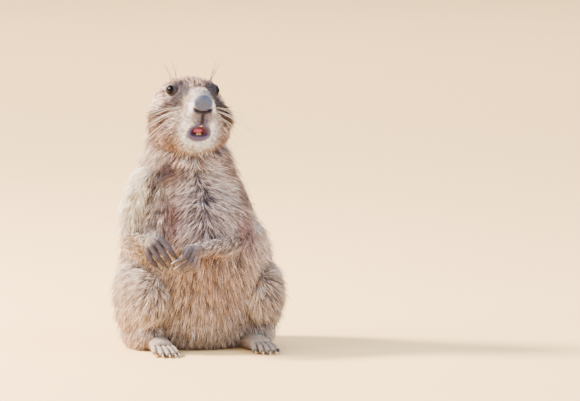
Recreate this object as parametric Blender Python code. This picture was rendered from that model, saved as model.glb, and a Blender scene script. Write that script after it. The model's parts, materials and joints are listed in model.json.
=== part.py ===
"""A prairie dog that sits upright on its haunches, as a still life-size model.

Sizes are in millimetres and are turned into metres where a form is placed. The animal faces -Y, its left side
is +X, and the origin is on the floor under the middle of its seat. The outer surface of every solid is the
outer surface of the coat. Soft forms are blended like clay: rough forms overlap, a voxel remesh welds them, smoothing
rounds the joins, and a decimation gives the facets that a solid can afford.
"""

import math

import bmesh
import bpy
from mathutils import Matrix, Vector

# Driving dimensions
MM = 0.001
SITTING_HEIGHT = 214.0
TAIL_LENGTH = 82.0
FOOT_LENGTH = 58.0
CUT = 0.3  # gap between neighbouring solids
BROW_HEIGHT = 11.4  # crown above the middle of the eyes
EYE_RADIUS = 5.0
EYE_SPREAD = 15.6  # eye centre from the midline
EYE_FORWARD = 28.0  # eyes in front of the seat's middle
EYE_LEVEL = SITTING_HEIGHT - BROW_HEIGHT
LEAN = 8.0  # the seat lies this far to the animal's left of its head
SIDES = {"right": -1, "left": 1}
EYE_ASPECT = 58.0  # degrees that an eye looks out from straight ahead
LID_OPENING = (3.0, 4.1)  # half the width and half the height of the gap between the lids


def clear_scene():
    for old in list(bpy.data.objects):
        bpy.data.objects.remove(old, do_unlink=True)


def finish_of(name, colour, roughness):
    made = bpy.data.materials.new(name)
    made.use_nodes = True
    shader = made.node_tree.nodes["Principled BSDF"]
    shader.inputs["Base Color"].default_value = (*colour, 1.0)
    shader.inputs["Roughness"].default_value = roughness
    shader.inputs["Metallic"].default_value = 0.0
    return made


def place_mm(x, y, z):
    return Vector((x, y, z)) * MM


def head_mm(x, forward, up):
    """A point from the middle of the eyes: to the left, forward and up."""
    return place_mm(x, -EYE_FORWARD - forward, EYE_LEVEL + up)


def read_row(rows, t):
    """The row at t, from 0 to 1 along evenly counted rows, on a Catmull-Rom curve."""
    last = len(rows) - 1
    at = min(max(t, 0.0), 1.0) * last
    i = min(int(at), last - 1)
    s = at - i
    before, here, after, beyond = (rows[min(max(i + k, 0), last)] for k in (-1, 0, 1, 2))
    return [
        0.5 * (2 * b + (c - a) * s + (2 * a - 5 * b + 4 * c - d) * s * s + (3 * b - a - 3 * c + d) * s**3)
        for a, b, c, d in zip(before, here, after, beyond)
    ]


def object_of(name, mesh):
    made = bpy.data.objects.new(name, mesh)
    bpy.context.scene.collection.objects.link(made)
    return made


def shaped_sphere(name, place, rings=24, around=32):
    """A sphere whose vertices place(t, angle, spread) moves. Spread is 0 on a pole, where t is 0 or 1."""
    mesh = bpy.data.meshes.new(name)
    bm = bmesh.new()
    bmesh.ops.create_uvsphere(bm, u_segments=around, v_segments=rings, radius=1.0)
    for v in bm.verts:
        height = min(max(v.co.z, -1.0), 1.0)
        t = 1.0 - math.acos(height) / math.pi
        v.co = place(t, math.atan2(v.co.y, v.co.x), 0.0 if abs(height) > 0.9999 else 1.0)
    bmesh.ops.recalc_face_normals(bm, faces=bm.faces)
    bm.to_mesh(mesh)
    bm.free()
    return object_of(name, mesh)


def ellipsoid(name, centre, radii, turn=(0.0, 0.0, 0.0), rings=20, around=28):
    """An ellipsoid at centre, in metres, with radii in millimetres and turns in degrees about X, Y and Z."""
    spin = Matrix.Rotation(math.radians(turn[2]), 3, "Z")
    spin @= Matrix.Rotation(math.radians(turn[1]), 3, "Y") @ Matrix.Rotation(math.radians(turn[0]), 3, "X")

    def place(t, angle, spread):
        lift = math.pi * t
        ball = Vector((math.sin(lift) * math.cos(angle), math.sin(lift) * math.sin(angle), -math.cos(lift)))
        ball *= MM
        return centre + spin @ Vector((ball.x * radii[0], ball.y * radii[1], ball.z * radii[2]))

    return shaped_sphere(name, place, rings, around)


def swept(name, path, sizes, up=(0, 0, 1), rings=20, around=20):
    """A round-ended limb along a path in metres. Sizes are rows of half the width and height, in mm."""
    upward = Vector(up)

    def place(t, angle, spread):
        centre = Vector(read_row(path, t))
        ahead = (Vector(read_row(path, t + 0.02)) - Vector(read_row(path, t - 0.02))).normalized()
        side = ahead.cross(upward).normalized()
        top = side.cross(ahead).normalized()
        half_width, half_height = read_row(sizes, t)
        end = math.sqrt(max(0.0, 1.0 - abs(2.0 * t - 1.0) ** 8)) * spread * MM
        offset = side * (half_width * math.cos(angle)) + top * (half_height * math.sin(angle))
        return centre + offset * end

    return shaped_sphere(name, place, rings, around)


def settle(obj):
    """Applies the object's modifiers to its mesh."""
    graph = bpy.context.evaluated_depsgraph_get()
    mesh = bpy.data.meshes.new_from_object(obj.evaluated_get(graph))
    obj.modifiers.clear()
    obj.data = mesh
    return obj


def blend(name, forms, voxel, times, triangles):
    """Welds overlapping forms into one smooth body of about that many triangles."""
    bm = bmesh.new()
    for form in forms:
        bm.from_mesh(form.data)
        bpy.data.objects.remove(form, do_unlink=True)
    mesh = bpy.data.meshes.new(name)
    bm.to_mesh(mesh)
    bm.free()
    body = object_of(name, mesh)
    weld = body.modifiers.new("weld", "REMESH")
    weld.mode = "VOXEL"
    weld.voxel_size = voxel * MM
    rounding = body.modifiers.new("rounding", "SMOOTH")
    rounding.factor = 0.5
    rounding.iterations = times
    settle(body)
    facets = body.modifiers.new("facets", "DECIMATE")
    facets.ratio = min(1.0, triangles / (2.0 * len(body.data.polygons)))
    facets.use_collapse_triangulate = True
    return settle(body)


def keep_largest(obj):
    """Drops the crumbs that a cut leaves beside the main piece, and turns every face outwards."""
    bm = bmesh.new()
    bm.from_mesh(obj.data)
    left, islands = set(bm.verts), []
    while left:
        island, edge = set(), [left.pop()]
        while edge:
            v = edge.pop()
            island.add(v)
            for e in v.link_edges:
                other = e.other_vert(v)
                if other in left:
                    left.discard(other)
                    edge.append(other)
        islands.append(island)
    islands.sort(key=len)
    for island in islands[:-1]:
        bmesh.ops.delete(bm, geom=list(island), context="VERTS")
    bmesh.ops.recalc_face_normals(bm, faces=bm.faces)
    bm.to_mesh(obj.data)
    bm.free()
    return obj


def inflated(obj, by):
    copy = object_of("cutter", obj.data.copy())
    swell = copy.modifiers.new("swell", "DISPLACE")
    swell.strength = by * MM
    swell.mid_level = 0.0
    return settle(copy)


def carve(obj, *others, by=CUT):
    """Cuts the others, grown by a gap, out of obj."""
    for other in others:
        cutter = inflated(other, by)
        cut = obj.modifiers.new("cut", "BOOLEAN")
        cut.operation = "DIFFERENCE"
        cut.solver = "EXACT"
        cut.object = cutter
        settle(obj)
        bpy.data.objects.remove(cutter, do_unlink=True)
    return keep_largest(obj)


def slice_off(obj, point, normal):
    """Keeps what lies behind the plane, and closes the cut with a flat face."""
    bm = bmesh.new()
    bm.from_mesh(obj.data)
    whole = bm.verts[:] + bm.edges[:] + bm.faces[:]
    cut = bmesh.ops.bisect_plane(bm, geom=whole, dist=1e-6, plane_co=point, plane_no=normal, clear_outer=True)
    rim = [e for e in cut["geom_cut"] if isinstance(e, bmesh.types.BMEdge)]
    filled = bmesh.ops.holes_fill(bm, edges=rim, sides=0)
    bmesh.ops.triangulate(bm, faces=filled["faces"])
    bm.to_mesh(obj.data)
    bm.free()
    return keep_largest(obj)


def stand_flat(obj):
    return slice_off(obj, Vector((0, 0, 0)), Vector((0, 0, -1)))


def copy_of(obj, name):
    return object_of(name, obj.data.copy())


def finished(obj, name, material):
    """Names a solid, gives it its material and shades its soft form smooth."""
    obj.name = name
    obj.data.name = name
    obj.data.materials.clear()
    obj.data.materials.append(material)
    obj.data.shade_smooth()
    return obj


# Trunk and neck: rows of height, sideways shift, belly, back and half width
TRUNK_ROWS = [
    (-8, LEAN, -20, 34, 26),
    (0, LEAN, -36, 46, 40),
    (12, LEAN, -50, 58, 51),
    (30, LEAN * 0.9, -60, 64, 55),
    (50, LEAN * 1.1, -66, 64, 59),
    (70, LEAN * 1.2, -70, 60, 60),
    (90, LEAN * 0.9, -71, 53.5, 56),
    (106, LEAN * 0.4, -67, 46, 48.5),
    (121, LEAN * 0.2, -58, 39, 43.5),
    (134, LEAN * 0.2, -48, 33, 41),
    (146, LEAN * 0.2, -41, 27.5, 37.5),
    (158, LEAN * 0.2, -37, 22, 33.5),
    (170, 0, -32, 16, 30),
    (182, 0, -26, 10, 25),
    (190, 0, -20, 4, 16),
]


def trunk_form():
    def place(t, angle, spread):
        height, shift, belly, back, half_width = read_row(TRUNK_ROWS, t)
        middle = (belly + back) / 2 + 6.0
        depth = (middle - belly) if math.sin(angle) < 0 else (back - middle)
        return place_mm(
            shift + half_width * math.cos(angle) * spread, middle + depth * math.sin(angle) * spread, height
        )

    return shaped_sphere("trunk_form", place, 40, 56)


# Head: rows of forward, crown, jaw, half width and how far the lower half is the wider
HEAD_ROWS = [
    (-38, -10, -41, 17, 0.05),
    (-30, 4.0, -49, 26, 0.10),
    (-20, 10.0, -51, 29.5, 0.14),
    (-11, BROW_HEIGHT, -51, 31.5, 0.18),
    (-3, BROW_HEIGHT - 0.4, -50, 29.5, 0.23),
    (4, 9.0, -49, 25.8, 0.28),
    (10, 6.0, -48, 21.0, 0.28),
    (16, 3.8, -46, 16.4, 0.24),
    (20, 2.4, -43, 14.2, 0.16),
    (24, 0.8, -33, 12.4, 0.10),
    (28, -1.6, -22, 10.4, 0.04),
    (31, -4.4, -14, 7.4, 0.0),
]
CROWN_SQUARENESS = 0.76  # under 1, a cross-section is boxier than an ellipse


def squared(share):
    return math.copysign(abs(share) ** CROWN_SQUARENESS, share)


def head_form():
    def place(t, angle, spread):
        forward, crown, jaw, half_width, pear = read_row(HEAD_ROWS, t)
        lift = squared(math.sin(angle)) * spread
        wide = half_width * squared(math.cos(angle)) * spread * (1.0 - pear * lift)
        return head_mm(wide, forward, (crown + jaw) / 2 + (crown - jaw) / 2 * lift)

    return shaped_sphere("head_form", place, 40, 48)


def face_forms():
    """The fleshy forms that the head's own rows don't give: cheeks, whisker pads, brows, nose and chin."""
    forms = [
        ellipsoid("nose_tip", head_mm(0, 25.2, -6.4), (7.8, 7.0, 7.4)),
        ellipsoid("nose_bridge", head_mm(0, 14.0, -2.0), (9.0, 15.0, 6.0), (-9, 0, 0)),
        ellipsoid("chin", head_mm(0, 12.0, -39.5), (10.6, 8.4, 7.6)),
        ellipsoid("throat", head_mm(0, 0.0, -44.0), (19.0, 15.0, 8.0)),
    ]
    for sign in SIDES.values():
        forms += [
            ellipsoid("cheek", head_mm(sign * 19.8, -9.0, -22.5), (13.8, 19.0, 15.5), (0, 0, sign * 16)),
            ellipsoid("jowl", head_mm(sign * 15.5, 2.0, -33.0), (14.5, 14.0, 12.5), (0, 0, sign * 20)),
            ellipsoid("whisker_pad", head_mm(sign * 6.4, 18.0, -18.0), (8.0, 8.6, 8.6), (0, 0, sign * 14)),
            ellipsoid("brow", head_mm(sign * 13.8, -3.5, 4.8), (5.6, 9.0, 4.6), (0, 0, sign * 14)),
        ]
    return forms


NECK_PLANE = (Vector((0, -0.040, 0.137)), Vector((0, -0.14, 1.0)).normalized())
HEAD_PLANE = (Vector((0, -0.036, 0.1475)), Vector((0, -0.62, 0.785)).normalized())


def head_neck_and_trunk():
    """One blended body, parted behind the jaw and at the neck's base by thin cuts."""
    body = blend("body", [trunk_form(), head_form(), *face_forms()], voxel=1.4, times=6, triangles=2500)
    half_gap = CUT / 2 * MM
    trunk, neck = copy_of(body, "trunk"), copy_of(body, "neck")
    neck_at, neck_way = NECK_PLANE
    head_at, head_way = HEAD_PLANE
    slice_off(trunk, neck_at - neck_way * half_gap, neck_way)
    slice_off(neck, neck_at + neck_way * half_gap, -neck_way)
    slice_off(neck, head_at - head_way * half_gap, head_way)
    slice_off(body, head_at + head_way * half_gap, -head_way)
    stand_flat(trunk)
    return body, neck, trunk


def open_mouth(head):
    """The parted lips: a low, wide hollow that runs back over the tongue."""
    hollow = ellipsoid("mouth", head_mm(0, 14.0, -28.4), (9.2, 14.0, 5.0), (6, 0, 0), 12, 18)
    carve(head, hollow, by=0.0)
    bpy.data.objects.remove(hollow, do_unlink=True)
    return head


def eye_centre(sign):
    return head_mm(sign * EYE_SPREAD, -1.0, -0.2)


def eyeball(side, sign):
    centre = head_mm(sign * EYE_SPREAD, -1.0, -0.2)
    return ellipsoid("eye_" + side, centre, (EYE_RADIUS,) * 3, (0, 0, sign * EYE_ASPECT), 8, 12), centre


def open_eye(head, eye, centre, sign):
    """Seats the eyeball and parts the lids over it, in an opening that is taller than wide."""
    out = math.radians(EYE_ASPECT)
    ahead = Vector((sign * math.sin(out), -math.cos(out), 0.1)) * (EYE_RADIUS * MM)
    radii = (LID_OPENING[0], EYE_RADIUS, LID_OPENING[1])
    opening = ellipsoid("opening", centre + ahead, radii, (0, 0, sign * EYE_ASPECT), 10, 14)
    carve(head, opening, by=0.0)
    bpy.data.objects.remove(opening, do_unlink=True)
    return carve(head, eye)


def ear(side, sign, head):
    """A low rounded flap that lies back against the head."""
    lie = (14, sign * 20, sign * 24)
    flap = ellipsoid("flap", head_mm(sign * 26.0, -20.0, -9.0), (3.6, 5.6, 7.4), lie)
    bowl = ellipsoid("bowl", head_mm(sign * 30.0, -22.0, -8.6), (2.6, 3.4, 4.8), lie, 8, 12)
    blended = blend("ear_" + side, [flap], voxel=0.7, times=2, triangles=110)
    carve(blended, bowl, by=0.0)
    bpy.data.objects.remove(bowl, do_unlink=True)
    return carve(blended, head)


def haunch(side, sign, trunk):
    """Thigh, knee and shank as the one furred mass that a sitting animal shows."""
    hip = LEAN + sign * 43.5
    forms = [
        ellipsoid("thigh", place_mm(hip, -8.0, 40.0), (23.5, 43.0, 38.0), (-8, 0, sign * 10)),
        ellipsoid("knee", place_mm(hip + sign * 1.5, -37.0, 43.0), (19.0, 23.0, 24.0), (0, 0, sign * 8)),
        ellipsoid("shank", place_mm(hip - sign * 1.0, -12.0, 14.0), (19.5, 31.0, 19.0), (0, 0, sign * 6)),
    ]
    leg = blend("thigh_" + side, forms, voxel=1.6, times=8, triangles=280)
    stand_flat(leg)
    return carve(leg, trunk)


def digit(forms, name, points, claw_points, sizes, claw_sizes):
    """Adds a toe or a finger, swept through its points, and the claw that continues it."""
    forms.append(swept(name, [place_mm(*p) for p in points], sizes, rings=14, around=14))
    forms.append(swept(name + "_claw", [place_mm(*p) for p in claw_points], claw_sizes, rings=12, around=12))


# Hind feet: the heel's place, and for each toe its place across the foot and its length
HEEL = (37.0, -24.0, 5.4)
TOES = [(-7.6, 9.0), (-4.0, 15.0), (0.0, 17.0), (4.0, 15.5), (7.4, 10.0)]
SOLE_SIZES = [(8.0, 6.4), (8.6, 7.0), (9.4, 5.6)]
TOE_SIZES = [(2.4, 2.7), (2.2, 2.5), (1.9, 2.1)]
FINGER_SIZES = [(2.6, 2.8), (2.4, 2.6), (1.9, 2.1)]
CLAW_SIZES = [(1.3, 1.5), (1.1, 1.3), (0.6, 0.6)]


def hind_foot(side, sign, thigh, trunk):
    """A long flat foot with five toes, each with its claw."""
    heel = Vector((LEAN + sign * HEEL[0], HEEL[1], HEEL[2]))
    ball = heel + Vector((sign * 3.0, -FOOT_LENGTH * 0.66, 0.4))
    sole_path = [place_mm(*heel), place_mm(*(heel + ball) / 2), place_mm(*ball)]
    forms = [swept("sole", sole_path, SOLE_SIZES)]
    for across, length in TOES:
        root = ball + Vector((across * 0.86, 6.0, -0.6))
        tip = ball + Vector((across * 1.22, -2.0 - length, -3.6))
        middle = (root + tip) / 2 + Vector((0, 0, 1.4))
        claw = tip + Vector((across * 0.06, -5.6, -1.2))
        bend = (tip + claw) / 2 + Vector((0, 0, 1.0))
        digit(forms, "toe", (root, middle, tip), (tip, bend, claw), TOE_SIZES, CLAW_SIZES)
    foot = blend("hind_foot_" + side, forms, voxel=0.7, times=2, triangles=390)
    stand_flat(foot)
    return carve(foot, thigh, trunk)


# Arms: the joints of each side, and the way that the fingers point and spread
ARMS = {
    "right": {
        "upper": [(-28, -10, 142), (-35.5, -13, 127), (-43.5, -17, 108), (-47.5, -22, 88)],
        "fore": [(-47.5, -26, 86), (-48.5, -46, 83), (-45, -63, 90)],
        "palm": (-41.0, -70.0, 86.5),
        "fingers": (0.49, -0.42, -0.76),
        "across": (0.67, -0.12, 0.73),
        "curl": 1.0,
        "stretch": 1.0,
    },
    "left": {
        "upper": [(25, -10, 142), (31.5, -14, 127), (38, -24, 108), (38.5, -42, 92)],
        "fore": [(38, -46, 90), (20, -65, 85), (-4, -77.5, 83)],
        "palm": (-13.0, -80.5, 80.0),
        "fingers": (-0.50, -0.42, -0.75),
        "across": (-0.50, -0.40, 0.60),
        "curl": 2.6,
        "stretch": 0.66,
    },
}
UPPER_ARM_SIZES = [(10.0, 13.0), (12.5, 16.5), (12.0, 15.0), (11.0, 12.0)]
FOREARM_SIZES = [(10.8, 11.0), (9.4, 9.8), (6.2, 6.6)]
PALM_SIZES = [(5.6, 5.2), (8.4, 5.8), (9.0, 4.8)]
FINGER_LENGTHS = [10.0, 13.0, 15.0, 13.0]
FINGER_SPACING = 4.7


def upper_arm(side, trunk, neck):
    points = [place_mm(*point) for point in ARMS[side]["upper"]]
    arm = blend("upper_arm_" + side, [swept("arm", points, UPPER_ARM_SIZES, up=(0, 1, 0))], 1.4, 3, 210)
    return carve(arm, trunk, neck)


def forearm(side, *neighbours):
    points = [place_mm(*point) for point in ARMS[side]["fore"]]
    arm = blend("forearm_" + side, [swept("arm", points, FOREARM_SIZES)], 1.2, 3, 190)
    return carve(arm, *neighbours)


def forepaw(side, *neighbours):
    """A small hand with four curled fingers and long digging claws."""
    palm = Vector(ARMS[side]["palm"])
    point = Vector(ARMS[side]["fingers"]).normalized()
    across = Vector(ARMS[side]["across"])
    across = (across - point * across.dot(point)).normalized()
    inward = point.cross(across).normalized()
    if inward.y < 0:
        inward = -inward
    wrist = Vector(ARMS[side]["fore"][-1])
    curl = ARMS[side]["curl"]
    knuckles = palm + point * 4.5
    palm_path = [place_mm(*wrist), place_mm(*palm), place_mm(*(knuckles + point * 2.5))]
    forms = [swept("palm", palm_path, PALM_SIZES, up=inward)]
    for n, full_length in enumerate(FINGER_LENGTHS):
        length = full_length * ARMS[side]["stretch"]
        offset = across * (FINGER_SPACING * (n - 1.5))
        root = knuckles + offset * 0.9
        middle = knuckles + offset * 1.02 + point * (length * 0.6) - inward * 1.6
        tip = knuckles + offset * 0.98 + point * length + inward * (1.4 * curl)
        bend = tip + point * (3.4 / curl) + inward * (1.0 * curl)
        claw = tip + point * (5.6 / curl) + inward * (3.0 + 0.8 * curl)
        digit(forms, "finger", (root, middle, tip), (tip, bend, claw), FINGER_SIZES, CLAW_SIZES)
    hand = blend("forepaw_" + side, forms, voxel=0.6, times=2, triangles=440)
    return carve(hand, *neighbours)


# Tail: how far it bends aside, its share of the length and its height at each row, then its half sizes
TAIL_ROWS = [(0, 0, 11), (0, 0.22, 9.5), (2, 0.5, 7.6), (7, 0.78, 7.0), (14, 1.0, 6.6)]
TAIL_SIZES = [(12.0, 11.0), (12.5, 9.6), (14.0, 8.0), (13.5, 7.4), (7.0, 5.6)]
TAIL_ROOT = 50.0
TAIL_INSIDE = 8.0  # length of the root that the seat hides


def tail(trunk):
    """A short flat tail laid along the floor, bending a little to the animal's left."""
    whole = TAIL_LENGTH + TAIL_INSIDE
    path = [place_mm(LEAN + aside, TAIL_ROOT + share * whole, height) for aside, share, height in TAIL_ROWS]
    brush = blend("tail", [swept("tail_form", path, TAIL_SIZES, rings=28, around=28)], 1.4, 3, 260)
    stand_flat(brush)
    return carve(brush, trunk)


def tooth_pair(name, root, tip, width, depth, head):
    """Two front teeth side by side, which the gum holds as one piece."""
    forms = []
    for sign in (-1, 1):
        start = head_mm(sign * width * 0.5, *root)
        end = head_mm(sign * width * 0.46, *tip)
        sizes = [(width * 0.56, depth)] * 3
        path = [start, (start + end) / 2, end]
        forms.append(swept("tooth", path, sizes, up=(0, 1, 0), rings=10, around=12))
    pair = blend(name, forms, voxel=0.22, times=1, triangles=100)
    return carve(pair, head)


def tongue(head, *neighbours):
    path = [head_mm(0, 1.0, -31.6), head_mm(0, 9.0, -29.0), head_mm(0, 15.6, -28.6)]
    body = swept("tongue", path, [(5.4, 3.2), (5.2, 2.6), (3.4, 1.8)])
    return carve(blend("tongue", [body], 0.6, 2, 90), head, *neighbours)


def build():
    clear_scene()
    coat = finish_of("tawny_coat", (0.50, 0.34, 0.22), 0.9)
    paw = finish_of("dark_paw", (0.16, 0.13, 0.12), 0.7)
    eye_black = finish_of("eye_black", (0.012, 0.009, 0.008), 0.08)
    enamel = finish_of("tooth_enamel", (0.80, 0.66, 0.32), 0.35)
    flesh = finish_of("tongue_flesh", (0.62, 0.20, 0.18), 0.45)

    head, neck, trunk = head_neck_and_trunk()
    for side, sign in SIDES.items():
        eye, centre = eyeball(side, sign)
        open_eye(head, eye, centre, sign)
        finished(eye, "eye_" + side, eye_black)
    open_mouth(head)
    lower = tooth_pair("lower_incisors", (15.0, -37.0), (18.2, -29.4), 2.0, 1.1, head)
    upper = tooth_pair("upper_incisors", (16.0, -19.0), (20.4, -26.2), 2.0, 1.1, head)
    finished(tongue(head, lower, upper), "tongue", flesh)
    finished(lower, "lower_incisors", enamel)
    finished(upper, "upper_incisors", enamel)
    for side, sign in SIDES.items():
        finished(ear(side, sign, head), "ear_" + side, coat)

    finished(tail(trunk), "tail", coat)
    for side, sign in SIDES.items():
        thigh = haunch(side, sign, trunk)
        finished(hind_foot(side, sign, thigh, trunk), "hind_foot_" + side, paw)
        arm = upper_arm(side, trunk, neck)
        fore = forearm(side, arm, trunk, thigh)
        finished(forepaw(side, fore, arm, trunk, thigh), "forepaw_" + side, paw)
        finished(fore, "forearm_" + side, coat)
        finished(arm, "upper_arm_" + side, coat)
        finished(thigh, "thigh_" + side, coat)
    finished(head, "head", coat)
    finished(neck, "neck", coat)
    finished(trunk, "trunk", coat)


build()
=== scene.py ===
# %% [markdown]
# # A prairie dog that sits upright
# This lesson builds the looks of a life-size prairie dog in Blender. The plain solids come in as a fixed
# frame. One soft skin with a finished face takes the place of the flesh, a coat of small solid tufts
# grows on it, and glossy eyes, teeth, a tongue, claws and whiskers follow. Sizes are written in
# millimetres, because an animal this small is measured so, and they are turned into metres where a shape
# is placed. The animal faces -Y, and its left side is +X.

# %% Load the frame
import json
import math
from functools import lru_cache

import bmesh
import bpy
import numpy as np
from mathutils import Euler, Matrix, Vector
from mathutils.kdtree import KDTree

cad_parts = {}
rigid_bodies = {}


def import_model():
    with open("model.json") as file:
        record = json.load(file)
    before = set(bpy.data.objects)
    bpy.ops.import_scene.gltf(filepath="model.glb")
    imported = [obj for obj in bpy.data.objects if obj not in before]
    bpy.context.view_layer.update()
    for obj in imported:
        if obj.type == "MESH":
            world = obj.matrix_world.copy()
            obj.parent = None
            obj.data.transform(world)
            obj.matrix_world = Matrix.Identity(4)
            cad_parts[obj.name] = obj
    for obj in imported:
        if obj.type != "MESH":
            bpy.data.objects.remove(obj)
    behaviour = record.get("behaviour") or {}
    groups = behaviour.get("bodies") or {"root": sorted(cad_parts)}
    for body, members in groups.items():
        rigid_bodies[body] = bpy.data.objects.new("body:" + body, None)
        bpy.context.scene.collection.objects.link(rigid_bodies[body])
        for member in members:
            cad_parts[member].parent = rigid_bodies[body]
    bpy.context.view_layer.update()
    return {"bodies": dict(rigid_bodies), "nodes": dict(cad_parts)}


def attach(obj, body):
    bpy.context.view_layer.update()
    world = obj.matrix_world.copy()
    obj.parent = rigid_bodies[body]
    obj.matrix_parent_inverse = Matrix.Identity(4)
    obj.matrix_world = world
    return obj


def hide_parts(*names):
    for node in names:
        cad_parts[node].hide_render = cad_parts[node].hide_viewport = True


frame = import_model()
BODY = list(frame["bodies"])[0]
print("frame holds", len(frame["nodes"]), "nodes on the body", BODY)

# %% [markdown]
# ## Sizes that drive the rest
# The head is placed from the middle of the eyes, as a sculptor would do it, so that every part of the
# face keeps its distance from the eyes. The seat leans a little to the animal's left of the head.

# %% Driving sizes and places
MM = 0.001
SITTING_HEIGHT = 214.0
TAIL_LENGTH = 82.0
FOOT_LENGTH = 58.0
BROW_HEIGHT = 11.4
EYE_RADIUS = 5.0
EYE_SPREAD = 16.1
EYE_FORWARD = 28.0
EYE_LEVEL = SITTING_HEIGHT - BROW_HEIGHT
EYE_ASPECT = 58.0  # degrees that an eye looks out from straight ahead
LEAN = 8.0
SIDES = {"right": -1, "left": 1}


def place_mm(x, y, z):
    return Vector((x, y, z)) * MM


def on_head(x, forward, up):
    """A point from the middle of the eyes, in millimetres of the frame."""
    return Vector((x, -EYE_FORWARD - forward, EYE_LEVEL + up))


print("eyes are", round(EYE_LEVEL), "mm above the floor")

# %% [markdown]
# ## Soft forms under the coat
# A furred body is a smooth body plus the depth of its coat. So each form of the flesh is stated with the
# outer size and with the coat's depth there, and the depth is taken off. Spheres from `create_icosphere`
# and `create_uvsphere` are stretched into muscles, limbs and lofts. Each form remembers its part and its
# coat, and the skin and the tufts read them later.

# %% Helpers for the forms
PARTS = ["trunk", "neck", "head", "muzzle", "ear", "arm", "thigh", "hand", "foot", "tail"]


def new_clay():
    bm = bmesh.new()
    bm.verts.layers.int.new("part")
    bm.verts.layers.float.new("coat")
    bm.verts.layers.float_vector.new("lie")
    return bm


soft_clay, fine_clay = new_clay(), new_clay()


def note(bm, verts, part, coat, lie=None):
    """Notes on vertices which part they shape, the coat's depth in mm, and the way that its hair lies."""
    part_of, coat_of = bm.verts.layers.int["part"], bm.verts.layers.float["coat"]
    lie_of = bm.verts.layers.float_vector["lie"]
    for v in verts:
        v[part_of] = PARTS.index(part)
        v[coat_of] = coat
        if lie is not None:
            v[lie_of] = lie


def lump(bm, part, coat, centre, radii, turn=(0, 0, 0), lie=None):
    """Adds an ellipsoid, with its outer radii and its turns about X, Y and Z in degrees."""
    spin = Euler([math.radians(a) for a in turn]).to_matrix().to_4x4()
    grow = Matrix.Diagonal([(r - coat) * MM for r in radii] + [1.0])
    where = Matrix.Translation(Vector(centre) * MM) @ spin @ grow
    made = bmesh.ops.create_icosphere(bm, subdivisions=4, radius=1.0, matrix=where)
    note(bm, made["verts"], part, coat, lie)


def read_row(rows, t):
    """The row at t, from 0 to 1 along evenly counted rows, on a Catmull-Rom curve."""
    last = len(rows) - 1
    at = min(max(t, 0.0), 1.0) * last
    i = min(int(at), last - 1)
    s = at - i
    before, here, after, beyond = (rows[min(max(i + k, 0), last)] for k in (-1, 0, 1, 2))
    return [
        0.5 * (2 * b + (c - a) * s + (2 * a - 5 * b + 4 * c - d) * s * s + (3 * b - a - 3 * c + d) * s**3)
        for a, b, c, d in zip(before, here, after, beyond)
    ]


def drawn_sphere(bm, place, rings, around):
    """Stretches a sphere: place(t, angle, spread) says where a vertex goes, for t from pole to pole."""
    made = bmesh.ops.create_uvsphere(bm, u_segments=around, v_segments=rings, radius=1.0)["verts"]
    for v in made:
        height = min(max(v.co.z, -1.0), 1.0)
        t = 1.0 - math.acos(height) / math.pi
        v.co = place(t, math.atan2(v.co.y, v.co.x), 0.0 if abs(height) > 0.9999 else 1.0)
    bmesh.ops.recalc_face_normals(bm, faces=list({f for v in made for f in v.link_faces}))
    return made


def limb(bm, path, sizes, up=(0, 0, 1), rings=24, around=24, bluntness=8.0):
    """Draws a round-ended limb along a path in mm, with rows of half the width and half the height.

    Hair lies along a limb, so the clay's vertices note the way that it runs."""
    upward = Vector(up)
    runs = []

    @lru_cache(maxsize=None)
    def section(t):
        centre = Vector(read_row(path, t))
        ahead = (Vector(read_row(path, t + 0.02)) - Vector(read_row(path, t - 0.02))).normalized()
        side = ahead.cross(upward).normalized()
        return centre, ahead, side, side.cross(ahead).normalized(), read_row(sizes, t)

    def place(t, angle, spread):
        centre, ahead, side, top, (half_width, half_height) = section(t)
        runs.append((t, ahead))
        end = math.sqrt(max(0.0, 1.0 - abs(2.0 * t - 1.0) ** bluntness)) * spread
        offset = side * (half_width * math.cos(angle)) + top * (half_height * math.sin(angle))
        return (centre + offset * end) * MM

    made = drawn_sphere(bm, place, rings, around)
    lie_of, along_of = bm.verts.layers.float_vector.get("lie"), bm.verts.layers.float.get("along")
    for v, (t, ahead) in zip(made, runs):
        if lie_of is not None:
            v[lie_of] = ahead
        if along_of is not None:
            v[along_of] = t
    return made


def fleshed(sizes, coat):
    return [(wide - coat, high - coat) for wide, high in sizes]


print("helpers ready for", len(PARTS), "parts")

# %% [markdown]
# ## Trunk and neck
# The trunk is a loft: rows of height, sideways shift, belly, back and half width, read as one smooth
# curve. A loft keeps the pear shape of a sitting rodent, which a pile of spheres would turn into bumps.

# %% Trunk
TRUNK_ROWS = [
    (-8, LEAN, -20, 34, 26),
    (0, LEAN, -36, 46, 40),
    (12, LEAN, -50, 58, 51),
    (30, LEAN * 0.9, -60, 64, 55),
    (50, LEAN * 1.1, -66, 64, 59),
    (70, LEAN * 1.2, -70, 60, 60),
    (90, LEAN * 0.9, -71, 53.5, 56),
    (106, LEAN * 0.4, -67, 46, 48.5),
    (121, LEAN * 0.2, -58, 39, 43.5),
    (134, LEAN * 0.2, -48, 33, 41),
    (146, LEAN * 0.2, -41, 27.5, 37.5),
    (158, LEAN * 0.2, -37, 22, 33.5),
    (170, 0, -32, 16, 30),
    (182, 0, -26, 10, 25),
    (190, 0, -20, 4, 16),
]
TRUNK_COAT = 5.0
NECK_BASE = 132.0


def trunk_place(t, angle, spread):
    height, shift, belly, back, half_width = read_row(TRUNK_ROWS, t)
    middle = (belly + back) / 2 + 6.0
    depth = (middle - belly) if math.sin(angle) < 0 else (back - middle)
    x = shift + (half_width - TRUNK_COAT) * math.cos(angle) * spread
    y = middle + (depth - TRUNK_COAT) * math.sin(angle) * spread
    return place_mm(x, y, height)


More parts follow.
